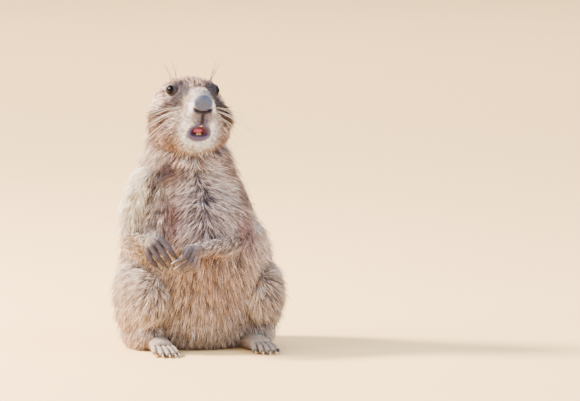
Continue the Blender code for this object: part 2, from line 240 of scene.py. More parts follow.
trunk = drawn_sphere(soft_clay, trunk_place, 44, 56)
note(soft_clay, trunk, "trunk", TRUNK_COAT)
note(soft_clay, [v for v in trunk if v.co.z > NECK_BASE * MM], "neck", TRUNK_COAT)
print("trunk loft of", len(trunk), "vertices")

# %% [markdown]
# ## Head
# The skull is a second loft, from the nape to the nose. Its sections are a little boxy, which gives the
# flat crown, and wider below than above, which gives the full cheeks. Each row states its own coat, from
# 5 mm of fur on the nape down to almost none on the nose. Lumps then add what no loft gives: cheeks,
# jowls, lips, brows and chin.

# %% Head
# Rows of forward, crown, jaw, half width, how far the lower half is the wider, and the coat's depth
HEAD_ROWS = [
    (-38, -10, -41, 17, 0.05, 5.0),
    (-30, 4.0, -49, 26, 0.10, 5.0),
    (-20, 10.0, -51, 29.5, 0.14, 4.2),
    (-11, BROW_HEIGHT, -51, 31.5, 0.18, 3.6),
    (-3, BROW_HEIGHT - 0.4, -50, 29.5, 0.23, 3.0),
    (4, 9.0, -49, 25.8, 0.28, 2.5),
    (10, 6.0, -48, 21.0, 0.28, 2.0),
    (16, 3.8, -46, 16.4, 0.24, 1.5),
    (20, 2.4, -43, 14.2, 0.16, 1.2),
    (24, 0.8, -33, 12.4, 0.10, 0.9),
    (28, -1.6, -22, 10.4, 0.04, 0.7),
    (31, -4.4, -14, 7.4, 0.0, 0.5),
]
CROWN_SQUARENESS = 0.76  # under 1, a cross-section is boxier than an ellipse
MUZZLE_STARTS = 12.0  # forward of the eyes


def squared(share):
    return math.copysign(abs(share) ** CROWN_SQUARENESS, share)


def head_place(t, angle, spread):
    forward, crown, jaw, half_width, pear, coat = read_row(HEAD_ROWS, t)
    lift = squared(math.sin(angle)) * spread
    wide = (half_width - coat) * squared(math.cos(angle)) * spread * (1.0 - pear * lift)
    crown, jaw = crown - coat, jaw + coat * 1.2
    return on_head(wide, forward, (crown + jaw) / 2 + (crown - jaw) / 2 * lift) * MM


NAPE_COAT, COAT_FALL = 5.2, 4.6  # mm of coat at the nape, and how much less the nose has
skull = drawn_sphere(soft_clay, head_place, 48, 56)
for v in skull:
    ahead = -v.co.y / MM - EYE_FORWARD
    share = (ahead - HEAD_ROWS[0][0]) / (HEAD_ROWS[-1][0] - HEAD_ROWS[0][0])
    part = "muzzle" if ahead > MUZZLE_STARTS else "head"
    note(soft_clay, [v], part, NAPE_COAT - COAT_FALL * min(max(share, 0.0), 1.0))
lump(fine_clay, "muzzle", 0.3, on_head(0, 25.2, -6.4), (7.8, 7.0, 7.4))
lump(fine_clay, "muzzle", 1.2, on_head(0, 14.0, -2.0), (9.0, 15.0, 6.0), (-9, 0, 0))
lump(fine_clay, "muzzle", 1.6, on_head(0, 12.0, -39.5), (10.6, 8.4, 7.6))
lump(soft_clay, "neck", 4.0, on_head(0, 0.0, -44.0), (19.0, 15.0, 8.0))
for sign in SIDES.values():
    lump(soft_clay, "head", 4.0, on_head(sign * 19.8, -9.0, -22.5), (13.8, 19.0, 15.5), (0, 0, sign * 16))
    lump(soft_clay, "head", 3.2, on_head(sign * 15.5, 2.0, -33.0), (14.5, 14.0, 12.5), (0, 0, sign * 20))
    lump(fine_clay, "muzzle", 1.1, on_head(sign * 6.4, 18.0, -18.0), (8.0, 8.6, 8.6), (0, 0, sign * 14))
    lump(soft_clay, "head", 1.6, on_head(sign * 13.8, -3.5, 4.8), (5.6, 9.0, 4.6), (0, 0, sign * 14))
    ear_turn, ear_lie = (14, sign * 12, sign * 24), (sign * 0.5, 0.4, 0.7)
    lump(fine_clay, "ear", 0.7, on_head(sign * 24.6, -19.0, -9.6), (3.2, 5.6, 7.2), ear_turn, ear_lie)
print("head forms bring the clay to", len(soft_clay.verts) + len(fine_clay.verts), "vertices")

# %% [markdown]
# ## Haunches and hind feet
# Folded up, the thigh, knee and shank of each leg show as one furred mass, so three lumps are enough.
# The foot is long and flat with five toes. Its toes are swept limbs that taper, and the claws are
# separate pieces, because horn has its own finish.

# %% Legs
HIP_SPREAD = 43.5
# The lumps of a folded leg: the coat, the middle counted outward from the hip, the radii, and the turns
LEG_LUMPS = [
    (5.0, (0.0, -8.0, 40.0), (23.5, 43.0, 38.0), (-8, 0, 10)),
    (4.5, (1.5, -37.0, 43.0), (19.0, 23.0, 24.0), (0, 0, 8)),
    (4.0, (-1.0, -12.0, 14.0), (19.5, 31.0, 19.0), (0, 0, 6)),
]
for sign in SIDES.values():
    hip = LEAN + sign * HIP_SPREAD
    for fur, (out, y, z), radii, (nod, roll, swing) in LEG_LUMPS:
        middle, turn = (hip + sign * out, y, z), (nod, roll, sign * swing)
        lump(soft_clay, "thigh", fur, middle, radii, turn, (sign * 0.35, 0.30, -0.85))

HEEL = (37.0, -24.0, 5.4)
TOES = [(-7.6, 9.0), (-4.0, 15.0), (0.0, 17.0), (4.0, 15.5), (7.4, 10.0)]
SOLE_SIZES = [(8.0, 6.4), (8.6, 7.0), (9.4, 5.6)]
TOE_SIZES = [(2.4, 2.7), (2.2, 2.5), (1.9, 2.1)]
SHORT_FUR = 0.4
foot_claws, hand_claws = [], []

for sign in SIDES.values():
    heel = Vector((LEAN + sign * HEEL[0], HEEL[1], HEEL[2]))
    ball = heel + Vector((sign * 3.0, -FOOT_LENGTH * 0.66, 0.4))
    sole = limb(fine_clay, [heel, (heel + ball) / 2, ball], fleshed(SOLE_SIZES, SHORT_FUR))
    note(fine_clay, sole, "foot", 0.8)
    for across, length in TOES:
        root = ball + Vector((across * 0.86, 6.0, -0.6))
        tip = ball + Vector((across * 1.22, -2.0 - length, -3.6))
        knuckle = (root + tip) / 2 + Vector((0, 0, 1.4))
        note(fine_clay, limb(fine_clay, [root, knuckle, tip], fleshed(TOE_SIZES, 0.3)), "foot", 0.6)
        claw_tip = tip + Vector((across * 0.06, -5.6, -1.2))
        claw_bend = (tip + claw_tip) / 2 + Vector((0, 0, 1))
        foot_claws.append([tip + Vector((0, 1.6, 0.5)), claw_bend, claw_tip])
print("feet have", len(foot_claws), "toes")

# %% [markdown]
# ## Arms and hands
# Each arm is two swept limbs, and each hand is a palm with four curled fingers. The numbers for the two
# sides differ, because one hand is held forward and the other is folded to the belly. The thumb of
# these animals is a stub that hides in the palm, so the hand needs none.

# %% Arms and hands
ARMS = {
    "right": {
        "upper": [(-28, -10, 142), (-35.5, -13, 127), (-43.5, -17, 108), (-47.5, -22, 88)],
        "fore": [(-47.5, -26, 86), (-48.5, -46, 83), (-45, -63, 90)],
        "palm": (-41.0, -70.0, 86.5),
        "fingers": (0.49, -0.42, -0.76),
        "across": (0.67, -0.12, 0.73),
        "curl": 1.0,
        "stretch": 1.0,
    },
    "left": {
        "upper": [(25, -10, 142), (31.5, -14, 127), (38, -24, 108), (38.5, -42, 92)],
        "fore": [(38, -46, 90), (20, -65, 85), (-4, -77.5, 83)],
        "palm": (-13.0, -80.5, 80.0),
        "fingers": (-0.50, -0.42, -0.75),
        "across": (-0.50, -0.40, 0.60),
        "curl": 2.6,
        "stretch": 0.66,
    },
}
UPPER_ARM_SIZES = [(10.0, 13.0), (12.5, 16.5), (12.0, 15.0), (11.0, 12.0)]
FOREARM_SIZES = [(10.8, 11.0), (9.4, 9.8), (6.2, 6.6)]
PALM_SIZES = [(5.6, 5.2), (8.2, 5.0), (8.6, 4.0)]
FINGER_SIZES = [(1.8, 2.0), (1.95, 2.3), (1.85, 2.1), (1.4, 1.6)]
FINGER_LENGTHS = [10.0, 13.0, 15.0, 13.0]
FINGER_SPACING = 5.3
ARM_COAT = 4.4
FOREARM_COAT = 3.2

for arm in ARMS.values():
    upper = limb(soft_clay, arm["upper"], fleshed(UPPER_ARM_SIZES, ARM_COAT), up=(0, 1, 0))
    note(soft_clay, upper, "arm", ARM_COAT)
    fore = limb(soft_clay, arm["fore"], fleshed(FOREARM_SIZES, FOREARM_COAT))
    note(soft_clay, fore, "arm", FOREARM_COAT)
    palm, point = Vector(arm["palm"]), Vector(arm["fingers"]).normalized()
    across = Vector(arm["across"])
    across = (across - point * across.dot(point)).normalized()
    inward = point.cross(across).normalized()
    inward = -inward if inward.y < 0 else inward
    knuckles = palm + point * 4.5
    palm_path = [Vector(arm["fore"][-1]), palm + inward * 1.2, knuckles + inward * 1.6]
    note(fine_clay, limb(fine_clay, palm_path, fleshed(PALM_SIZES, 0.8), up=inward), "hand", 0.7)
    curl = arm["curl"]
    for n, full_length in enumerate(FINGER_LENGTHS):
        length = full_length * arm["stretch"]
        offset = across * (FINGER_SPACING * (n - 1.5))
        root = palm + offset * 0.72 - point * 3.0 - inward * 1.2
        knuckle = knuckles + offset - inward * 2.2
        bent = knuckles + offset * 1.04 + point * (length * 0.55) - inward * 1.8
        tip = knuckles + offset * 0.98 + point * length + inward * (1.4 * curl)
        note(fine_clay, limb(fine_clay, [root, knuckle, bent, tip], FINGER_SIZES), "hand", 0.5)
        claw_bend = tip + point * (3.4 / curl) + inward * (1.0 * curl)
        claw_tip = tip + point * (5.6 / curl) + inward * (3.0 + 0.8 * curl)
        hand_claws.append([tip - point * 1.6 - inward * 0.5, claw_bend, claw_tip])
print("hands have", len(hand_claws), "fingers")

# %% [markdown]
# ## Tail
# The tail is short and flat, and lies on the floor behind the seat. It bends a little to one side, as a
# resting tail does, and its last third is black on this species.

# %% Tail
TAIL_ROWS = [(0, 0, 11), (0, 0.22, 9.5), (2, 0.5, 7.6), (7, 0.78, 7.0), (14, 1.0, 6.6)]
TAIL_SIZES = [(12.0, 11.0), (12.5, 9.6), (14.0, 8.0), (13.5, 7.4), (7.0, 5.6)]
TAIL_ROOT = 50.0
TAIL_RUN = TAIL_LENGTH + 3.0  # the flesh from its root inside the seat to its tip
TAIL_COAT = 3.6
tail_path = [(LEAN + aside, TAIL_ROOT + share * TAIL_RUN, height) for aside, share, height in TAIL_ROWS]
tail = limb(soft_clay, tail_path, fleshed(TAIL_SIZES, TAIL_COAT))
note(soft_clay, tail, "tail", TAIL_COAT)
print("clay is whole, with", len(soft_clay.verts) + len(fine_clay.verts), "vertices")

# %% [markdown]
# ## One skin
# The loose forms are welded by a voxel remesh, which makes one closed surface with no seam, and are then
# eased as clay is smoothed with a thumb. Hands and feet are eased less, or their fingers would melt. A
# remesh this fine has too many faces, so the plain stretches of the body are thinned, while the face,
# hands and feet keep theirs.

# %% Helpers for whole meshes
BODY_VOXEL = 1.2
FINE_VOXEL = 0.6


def object_of(name, mesh):
    made = bpy.data.objects.new(name, mesh)
    bpy.context.scene.collection.objects.link(made)
    return made


def mesh_of(name, bm):
    mesh = bpy.data.meshes.new(name)
    bm.to_mesh(mesh)
    bm.free()
    return mesh


def settle(obj):
    """Applies the object's modifiers to its mesh."""
    graph = bpy.context.evaluated_depsgraph_get()
    mesh = bpy.data.meshes.new_from_object(obj.evaluated_get(graph))
    obj.modifiers.clear()
    obj.data = mesh
    return obj


def column(items, name, width, kind=np.float64):
    """Reads one property of a mesh's vertices, edges or faces as an array."""
    values = np.empty(len(items) * width, kind)
    items.foreach_get(name, values)
    return values.reshape(-1, width) if width > 1 else values


def eased(values, edges, times, share=0.5):
    """Averages each vertex's values with its neighbours' many times. Share may differ by vertex."""
    values = values.reshape(len(values), -1).astype(float)
    count = np.bincount(edges.ravel(), minlength=len(values))[:, None].clip(1)
    share = np.broadcast_to(np.asarray(share, float).reshape(-1, 1), (len(values), 1))
    for _ in range(times):
        sums = np.empty_like(values)
        for k in range(values.shape[1]):
            there = np.bincount(edges[:, 0], values[edges[:, 1], k], len(values))
            back = np.bincount(edges[:, 1], values[edges[:, 0], k], len(values))
            sums[:, k] = there + back
        values = values + (sums / count - values) * share
    return values


def smoothstep(x, low, high):
    """Rises softly from 0 at low to 1 at high."""
    s = np.clip((x - low) / (high - low), 0.0, 1.0)
    return s * s * (3.0 - 2.0 * s)


def fading(x, low, high):
    """Falls softly from 1 at low to 0 at high."""
    return 1.0 - smoothstep(x, low, high)


def bell(x, width):
    """A soft bump, 1 high at x = 0 and about that wide to each side."""
    return np.exp(-((x / width) ** 2))


def among(parts, *names):
    """Whether each vertex belongs to one of the named parts."""
    return np.isin(parts, [PARTS.index(name) for name in names])


def by_part(values, default=None):
    """One value for each part, in the order of PARTS."""
    return np.array([values.get(name, default) for name in PARTS])


def tree_of(places):
    tree = KDTree(len(places))
    for i, place in enumerate(places):
        tree.insert(place, i)
    tree.balance()
    return tree


def head_axes(points):
    """Splits points in mm into the distance to the left, forward and up from the middle of the eyes."""
    return points[:, 0], -points[:, 1] - EYE_FORWARD, points[:, 2] - EYE_LEVEL


print("the skin is welded from voxels of", BODY_VOXEL, "and", FINE_VOXEL, "mm")

# %% Weld and ease
def remember(*clays):
    """A search tree over the vertices of the forms, with the part, coat and lie that each one notes."""
    places, parts, coats, lies = [], [], [], []
    for bm in clays:
        part_of, coat_of = bm.verts.layers.int["part"], bm.verts.layers.float["coat"]
        lie_of = bm.verts.layers.float_vector["lie"]
        for v in bm.verts:
            places.append(v.co.copy())
            parts.append(v[part_of])
            coats.append(v[coat_of])
            lies.append(v[lie_of][:])
    return tree_of(places), np.array(parts), np.array(coats), np.array(lies)


form_tree, form_part, form_coat, form_lie = remember(soft_clay, fine_clay)
fine_tree, fine_part, _, _ = remember(fine_clay)


def weld(obj, voxel, times):
    remesh = obj.modifiers.new("weld", "REMESH")
    remesh.mode = "VOXEL"
    remesh.voxel_size = voxel * MM
    if times:
        easing = obj.modifiers.new("easing", "SMOOTH")
        easing.factor = 0.5
        easing.iterations = times
    return settle(obj)


rough = weld(object_of("rough_skin", mesh_of("rough_skin", soft_clay)), BODY_VOXEL, 12)
fine_clay.from_mesh(rough.data)
bpy.data.objects.remove(rough)
skin = weld(object_of("skin", mesh_of("skin", fine_clay)), FINE_VOXEL, 0)

points = column(skin.data.vertices, "co", 3) / MM
edges = column(skin.data.edges, "vertices", 2, np.int32)
found = [fine_tree.find(p) for p in points * MM]
close = np.array([distance for _, _, distance in found]) < 1.2 * MM
digits = among(fine_part[[i for _, i, _ in found]], "hand", "foot") & close
x, forward, up = head_axes(points)
face = (forward > 4) & (up > -46)
points = eased(points, edges, 2)
points = eased(points, edges, 14, np.where(digits, 0.0, np.where(face, 0.3, 0.5)))
SOLE_LEVEL = 0.8
points[:, 2] = np.maximum(points[:, 2], SOLE_LEVEL)
skin.data.vertices.foreach_set("co", (points * MM).ravel())
print("welded skin has", len(skin.data.polygons), "faces")

# %% Thin the plain stretches
eyes = np.zeros(len(points), bool)
for sign in SIDES.values():
    eyes |= np.linalg.norm(points - np.array(on_head(sign * EYE_SPREAD, 1.0, 0.0)), axis=1) < 11.0
kept = digits | face | eyes
plain = skin.vertex_groups.new(name="plain")
plain.add(np.flatnonzero(~kept).tolist(), 1.0, "REPLACE")
SKIN_FACES = 150000
thin = skin.modifiers.new("thin", "DECIMATE")
thin.ratio = SKIN_FACES / (2.0 * len(skin.data.polygons))
thin.vertex_group = "plain"
thin.vertex_group_factor = 1.0
thin.use_collapse_triangulate = True
print("of", len(points), "vertices", kept.sum(), "are kept whole")
settle(skin)
skin.vertex_groups.clear()
print("thinned skin has", len(skin.data.polygons), "triangles")

# %% [markdown]
# ## The face
# Lids, nostrils and lips are far finer than the remesh, so the skin is divided again round them and then
# moved with soft brushes, each a small formula. A brush keeps the surface whole, so that no edge or
# crack can show. The lids are drawn over the eyeball itself, which seats the eye as deep as it really
# sits.

# %% Eyes, nose and mouth measures
LID_OPENING = (3.65, 3.45)  # half the width and half the height of the gap between the lids
LID_THICKNESS = 0.5
BALL_INSET = 1.4  # how far the skin inside the gap lies under the eyeball's surface
SOCKET_DEPTH = 9.0
EYE_MIDDLES = {side: on_head(sign * EYE_SPREAD, -1.0, 0.5) for side, sign in SIDES.items()}
NOSTRIL_LOW, NOSTRIL_RISE, NOSTRIL_WIDE = -14.0, 2.3, 8.0
LIP_TOP, LIP_BOTTOM = -26.4, -33.9
MOUTH_TOP_WIDE, MOUTH_LOW_WIDE = 5.8, 7.6
MOUTH_ASIDE = -1.1  # the jaw hangs a little to the right
LIP_MIDDLE, LIP_WIDE, LIP_HIGH = -31.0, 8.9, 6.8  # the ring of bare lip round the opening


def eye_axes(sign):
    """The way that an eye looks, and the ways across and up its opening."""
    out = math.radians(EYE_ASPECT)
    gaze = Vector((sign * math.sin(out), -math.cos(out), 0.1)).normalized()
    across = Vector((0, 0, 1)).cross(gaze).normalized()
    return np.array(gaze), np.array(across), np.array(gaze.cross(across))


def eye_plane(points, side):
    """Where points lie by an eye: openings out from its middle, mm along its gaze, and mm up."""
    gaze, across, upward = eye_axes(SIDES[side])
    offset = points - np.array(EYE_MIDDLES[side])
    u, w, height = offset @ across, offset @ upward, offset @ gaze
    return np.hypot(u / LID_OPENING[0], w / LID_OPENING[1]), height, w


def before_eye(height):
    """Whether points that lie so far along an eye's gaze are in front of its middle."""
    return (height > 0) & (height < SOCKET_DEPTH)


def mouth_reach(x, up):
    """How far out of the mouth's opening a point of the lips is: under 1 is inside."""
    middle, half = (LIP_TOP + LIP_BOTTOM) / 2, (LIP_TOP - LIP_BOTTOM) / 2
    drop = np.clip((LIP_TOP - up) / (LIP_TOP - LIP_BOTTOM), 0.0, 1.2)
    wide = MOUTH_TOP_WIDE + (MOUTH_LOW_WIDE - MOUTH_TOP_WIDE) * np.sin(np.minimum(drop * 1.5, 1.57))
    cleft = 1.6 * bell(x, 1.1) * (up > middle)
    rise = np.abs(up - middle) / (half + cleft)
    return (np.abs((x - MOUTH_ASIDE) / wide) ** 2.6 + rise**2.6) ** (1 / 2.6)


def nostril_line(x):
    return NOSTRIL_LOW + NOSTRIL_RISE * np.abs(x / NOSTRIL_WIDE) ** 2.4


def divided(obj, chosen):
    """Splits the edges whose two ends are both chosen, which makes four triangles of one."""
    bm = bmesh.new()
    bm.from_mesh(obj.data)
    bm.verts.ensure_lookup_table()
    edges = [e for e in bm.edges if chosen[e.verts[0].index] and chosen[e.verts[1].index]]
    bmesh.ops.subdivide_edges(bm, edges=edges, cuts=1)
    bmesh.ops.triangulate(bm, faces=[f for f in bm.faces if len(f.verts) > 3])
    bm.to_mesh(obj.data)
    bm.free()


def near_features(points, eyes_only=False):
    x, forward, up = head_axes(points)
    wanted = np.zeros(len(points), bool)
    for side in SIDES:
        reach, height, _ = eye_plane(points, side)
        wanted |= (reach < (1.5 if eyes_only else 2.0)) & before_eye(height)
    if not eyes_only:
        wanted |= (forward > 20) & (np.abs(x) < 10) & (up < 0) & (up > -18)
        wanted |= (forward > 12) & (mouth_reach(x, up) < 1.35) & (up > -40)
        wanted |= (forward > 20) & (np.abs(x) < 1.8) & (up < -12) & (up > -30)
    return wanted


for eyes_only in (False, True):
    points = column(skin.data.vertices, "co", 3) / MM
    divided(skin, near_features(points, eyes_only))
print("skin divided at the face has", len(skin.data.polygons), "triangles")

# %% Brushes for lids, nose and lips
points = column(skin.data.vertices, "co", 3) / MM
edges = column(skin.data.edges, "vertices", 2, np.int32)
close_by = near_features(points)
points = eased(points, edges, 4, np.where(close_by, 0.5, 0.0))


def outward_ways():
    skin.data.vertices.foreach_set("co", (points * MM).ravel())
    skin.data.update()
    return column(skin.data.vertices, "normal", 3)


for side, sign in SIDES.items():
    gaze, across, upward = eye_axes(sign)
    reach, height, w = eye_plane(points, side)
    radius = reach * sum(LID_OPENING) / 2
    ball = np.sqrt(np.maximum(EYE_RADIUS**2 - radius**2, 0.0))
    shell = np.sqrt(np.maximum((EYE_RADIUS + LID_THICKNESS) ** 2 - radius**2, 4.0))
    edge = smoothstep(reach, 0.94, 1.08)
    lid = (ball - BALL_INSET) * (1.0 - edge) + shell * edge
    natural = smoothstep(reach, 1.30, 1.95)
    crease = -0.35 * bell(reach - 1.62, 0.10) * smoothstep(w, -1.0, 2.5)
    wanted = lid * (1.0 - natural) + height * natural + crease
    chosen = (reach < 2.2) & (height > -1.0) & (height < SOCKET_DEPTH)
    points = points + np.outer(np.where(chosen, wanted - height, 0.0), gaze)

ways = outward_ways()
x, forward, up = head_axes(points)
gap = np.abs(up - nostril_line(x))
ends = np.abs(x) / NOSTRIL_WIDE
front = smoothstep(forward, 16.0, 21.0)
groove = 1.1 * bell(gap, 0.65) * fading(ends, 0.86, 1.04)
hole_gap = np.hypot((np.abs(x) - 5.6) / 2.0, (up - nostril_line(x) - 0.1) / 1.0)
holes = 2.2 * bell(hole_gap, 1.0)
philtrum = 0.9 * bell(x, 0.55) * smoothstep(-up, 13.4, 14.6) * smoothstep(up, -27.5, -26.0)
points = points - ways * ((groove + holes + philtrum) * front)[:, None]

MOUTH_DEPTH = 9.0
LIP_RISE = 0.8
reach = mouth_reach(x, up)
inside = fading(reach, 0.30, 1.04) ** 0.7 * MOUTH_DEPTH
lips = LIP_RISE * bell(reach - 1.16, 0.13)
chosen = (forward > 8) & (up > -42) & (up < -20)
points[:, 1] += np.where(chosen, inside - lips, 0.0)

x, forward, up = head_axes(points)
for sign in SIDES.values():
    bowl = np.exp(-(((forward + 21.5) / 2.8) ** 2) - ((up + 8.4) / 4.4) ** 2) * (sign * x > 24)
    points[:, 0] -= sign * 1.8 * bowl
points = eased(points, edges, 2, np.where(close_by, 0.35, 0.0))
ways = outward_ways()
print("face is modelled; skin box in mm:", np.round(points.min(0), 1), np.round(points.max(0), 1))

# %% [markdown]
# ## A turn of the head
# The animal holds its head a touch askew, turned and tipped to its left by less than two degrees.
# Everything is modelled and painted straight, and every piece of the head is turned last, so that left
# and right can share their numbers. The turn fades out down the neck.

# %% Turn of the head
HEAD_PIVOT = np.array([0.0, -30.0, 165.0])
HEAD_TURN = np.array(Euler((0.0, math.radians(1.7), math.radians(1.7))).to_matrix())


def turned(points):
    """Points in mm after the turn of the head, which grows from the neck to the jaw."""
    share = smoothstep(points[:, 2], 148.0, 174.0)[:, None]
    return points + ((points - HEAD_PIVOT) @ HEAD_TURN.T + HEAD_PIVOT - points) * share


print("the nose moves by", np.round(turned(np.array([[0, -59.0, 196.0]])) - [0, -59, 196], 1), "mm")

# %% [markdown]
# ## Markings
# Skin and coat take their colour from one painting of the skin, so their markings can't part. It starts
# from a tawny base for each part, and soft patches are then laid over it one by one, each an ellipsoid
# with its own colour, as an airbrush would do it. Most patches of the head are on both sides. A few are
# on
# the right cheek alone: painted light on its upper part and painted shade on its lower part. Some more
# patches and lines are painted shade or light too, where their comments say so. Colours are written as 0
# to 255 and turned into the linear values that shaders want.

# %% Colours of the coat
BASE_COLOURS = {
    "trunk": (190, 170, 160),
    "neck": (200, 178, 164),
    "head": (170, 142, 130),
    "muzzle": (200, 184, 178),
    "ear": (206, 182, 162),
    "arm": (222, 202, 186),
    "thigh": (192, 172, 160),
    "hand": (86, 78, 84),
    "foot": (188, 166, 148),
    "tail": (182, 150, 124),
}
EYE_SHADOW_AT = (12.4, 8, -1)  # the dark patch between each eye and the nose
# Patches on both sides of the head: colour, the middle's x, forward and up, the three radii, and softness
HEAD_PATCHES = [
    ((128, 104, 97), (0, -12, 10), (30, 16, 8), 0.35),
    ((146, 117, 105), (0, 8, 6), (7.5, 20, 9), 0.35),
    ((206, 178, 160), (20, -6, -9), (8, 9, 6), 0.35),
    ((78, 60, 56), (19.5, 4, -14), (8.5, 10, 6.5), 0.35),
    ((84, 65, 60), (26, -4, -22), (10, 14, 9), 0.35),
    ((148, 122, 110), (22, 0, -36), (13, 14, 10), 0.35),
    ((176, 154, 142), (15, 12, -30), (5, 9, 9), 0.4),
    ((74, 67, 73), EYE_SHADOW_AT, (7.4, 15, 11.4), 0.2),
    ((190, 138, 100), (13, -4, 9.4), (7, 8, 3.4), 0.5),
    ((184, 160, 140), (9, 21, -9), (4.2, 7, 7), 0.35),
    ((84, 72, 72), (14.6, 11, -8.5), (4.6, 8, 6.5), 0.3),
    # The throat's colour, made lighter still as painted light against the shadow under the chin
    ((220, 184, 162), (0, 6, -50), (16, 15, 4.5), 0.4),
]
# Patches on the animal's right cheek only: painted light on the upper cheek,
# and painted shade on the lower cheek and jaw
RIGHT_CHEEK_LIGHT_AND_SHADE = [
    ((206, 180, 166), (-27, -7, -10.5), (8, 10, 6.5), 0.4),
    ((104, 82, 70), (-28, -4, -29), (9, 14, 10), 0.4),
    ((130, 106, 94), (-22, 4, -38), (9, 10, 8), 0.4),
]
# Patches on the body, in millimetres of the frame
BODY_PATCHES = [
    ((168, 142, 118), (0, 55, 120), (60, 45, 120)),
    ((172, 155, 154), (0, -62, 110), (26, 26, 34)),
    # Painted shade on the right of the neck, under the chin
    ((104, 82, 77), (-15, -38, 145), (14, 20, 12)),
    ((128, 102, 100), (-21, -60, 113), (10, 22, 21)),
    ((180, 163, 158), (22, -58, 116), (12, 20, 22)),
    ((158, 124, 116), (32, -46, 94), (12, 22, 20)),
    ((167, 144, 133), (8, -66, 62), (34, 24, 24)),
    ((150, 127, 116), (27, -32, 148), (13, 20, 15)),
    ((152, 130, 120), (38, -30, 124), (12, 26, 22)),
    # Painted shade on the left forearm, where it lies by the belly
    ((156, 130, 116), (8, -64, 80), (11, 12, 8)),
    ((174, 149, 133), (62, -22, 58), (16, 26, 20)),
    ((255, 228, 198), (-44, -14, 128), (14, 30, 26)),
    ((240, 200, 164), (-46, -40, 84), (12, 24, 9)),
    ((208, 190, 174), (-45, -62, 92), (8, 9, 7)),
]
NOSE_COLOUR = (74, 77, 92)
UNDER_NOSE_SHADOW_COLOUR = (70, 58, 62)
NOSTRIL_COLOUR = (50, 34, 36)
CLEFT_COLOUR = (38, 26, 34)
LIP_COLOUR = (76, 68, 92)
FRINGE_COLOUR = (246, 247, 255)
LIP_SHADE = (104, 102, 140)
MOUTH_COLOUR = (110, 50, 50)
HOLLOW_SHADE_COLOUR = (30, 23, 22)
LID_COLOUR = (34, 27, 26)
EYE_RING_COLOUR = (216, 198, 182)
PARTING_AND_SHADOW_COLOUR = (56, 50, 60)
TAIL_TIP_COLOUR = (52, 42, 38)
TAIL_TIP_STARTS = 0.68  # share of the tail


def linear(colour):
    c = np.array(colour, float) / 255.0
    return np.where(c < 0.04045, c / 12.92, ((c + 0.055) / 1.055) ** 2.4)


def laid_over(colours, colour, strength):
    return colours + (linear(colour) - colours) * np.clip(strength, 0.0, 1.0)[:, None]


def patch(points, middle, radii, soft=0.5):
    """How strongly a soft ellipsoid covers each point: 1 inside, then falling to 0."""
    reach = np.linalg.norm((points - np.array(middle)) / np.array(radii), axis=1)
    return fading(reach, 1.0 - soft, 1.0 + soft)


def folded(points):
    """Places by the head, with both sides laid on one: aside, forward and up from the eyes."""
    x, forward, up = head_axes(points)
    return np.stack([np.abs(x), forward, up], axis=1)


def ripple(points, size, seed):
    """Soft random waves of about that size in mm, between -1 and 1."""
    draw = np.random.default_rng(seed)
    ways = draw.normal(size=(6, 3))
    lengths = np.linalg.norm(ways, axis=1, keepdims=True)
    ways *= (2.0 * math.pi / size) / lengths * draw.uniform(0.6, 1.5, (6, 1))
    return np.sin(points @ ways.T + draw.uniform(0.0, 6.28, 6)).mean(axis=1) * 1.6


print("patches on the coat:", len(HEAD_PATCHES) + len(RIGHT_CHEEK_LIGHT_AND_SHADE) + len(BODY_PATCHES))

# %% Marks of the body
# Places (x, z) down the dark line of the breast, and down the crease before the right arm, whose dark is
# painted shade
PARTING = [(3.1, 152), (2.1, 142), (1.6, 137), (3.6, 129), (4.8, 122), (3.7, 113), (2.4, 105), (1.8, 94)]
ARM_CREASE_SHADOW = [(-12, 154), (-17.7, 146), (-21.2, 141.5), (-28, 135), (-30.4, 127), (-33, 114), (-38, 100)]
# A seam's line, how wide and strong its shade is, how long its end fades, and how wide its dark hairs go
SEAMS_AND_SHADOW = [(PARTING, 1.8, 0.3, 36.0, 1.9), (ARM_CREASE_SHADOW, 4.8, 0.68, 6.0, 4.2)]


def off_line(points, line, fade=6.0):
    """How far points lie to the left of a line of (x, z) places, and how much they are beside it.

    The line fades out over its lowest stretch, as many mm long as fade says."""
    heights = [z for _, z in line][::-1]
    across = np.interp(points[:, 2], heights, [x for x, _ in line][::-1])
    beside = smoothstep(points[:, 2], heights[0] - 4, heights[0] - 4 + fade)
    beside = beside * fading(points[:, 2], heights[-1] - 10, heights[-1] + 2)
    return points[:, 0] - across, beside


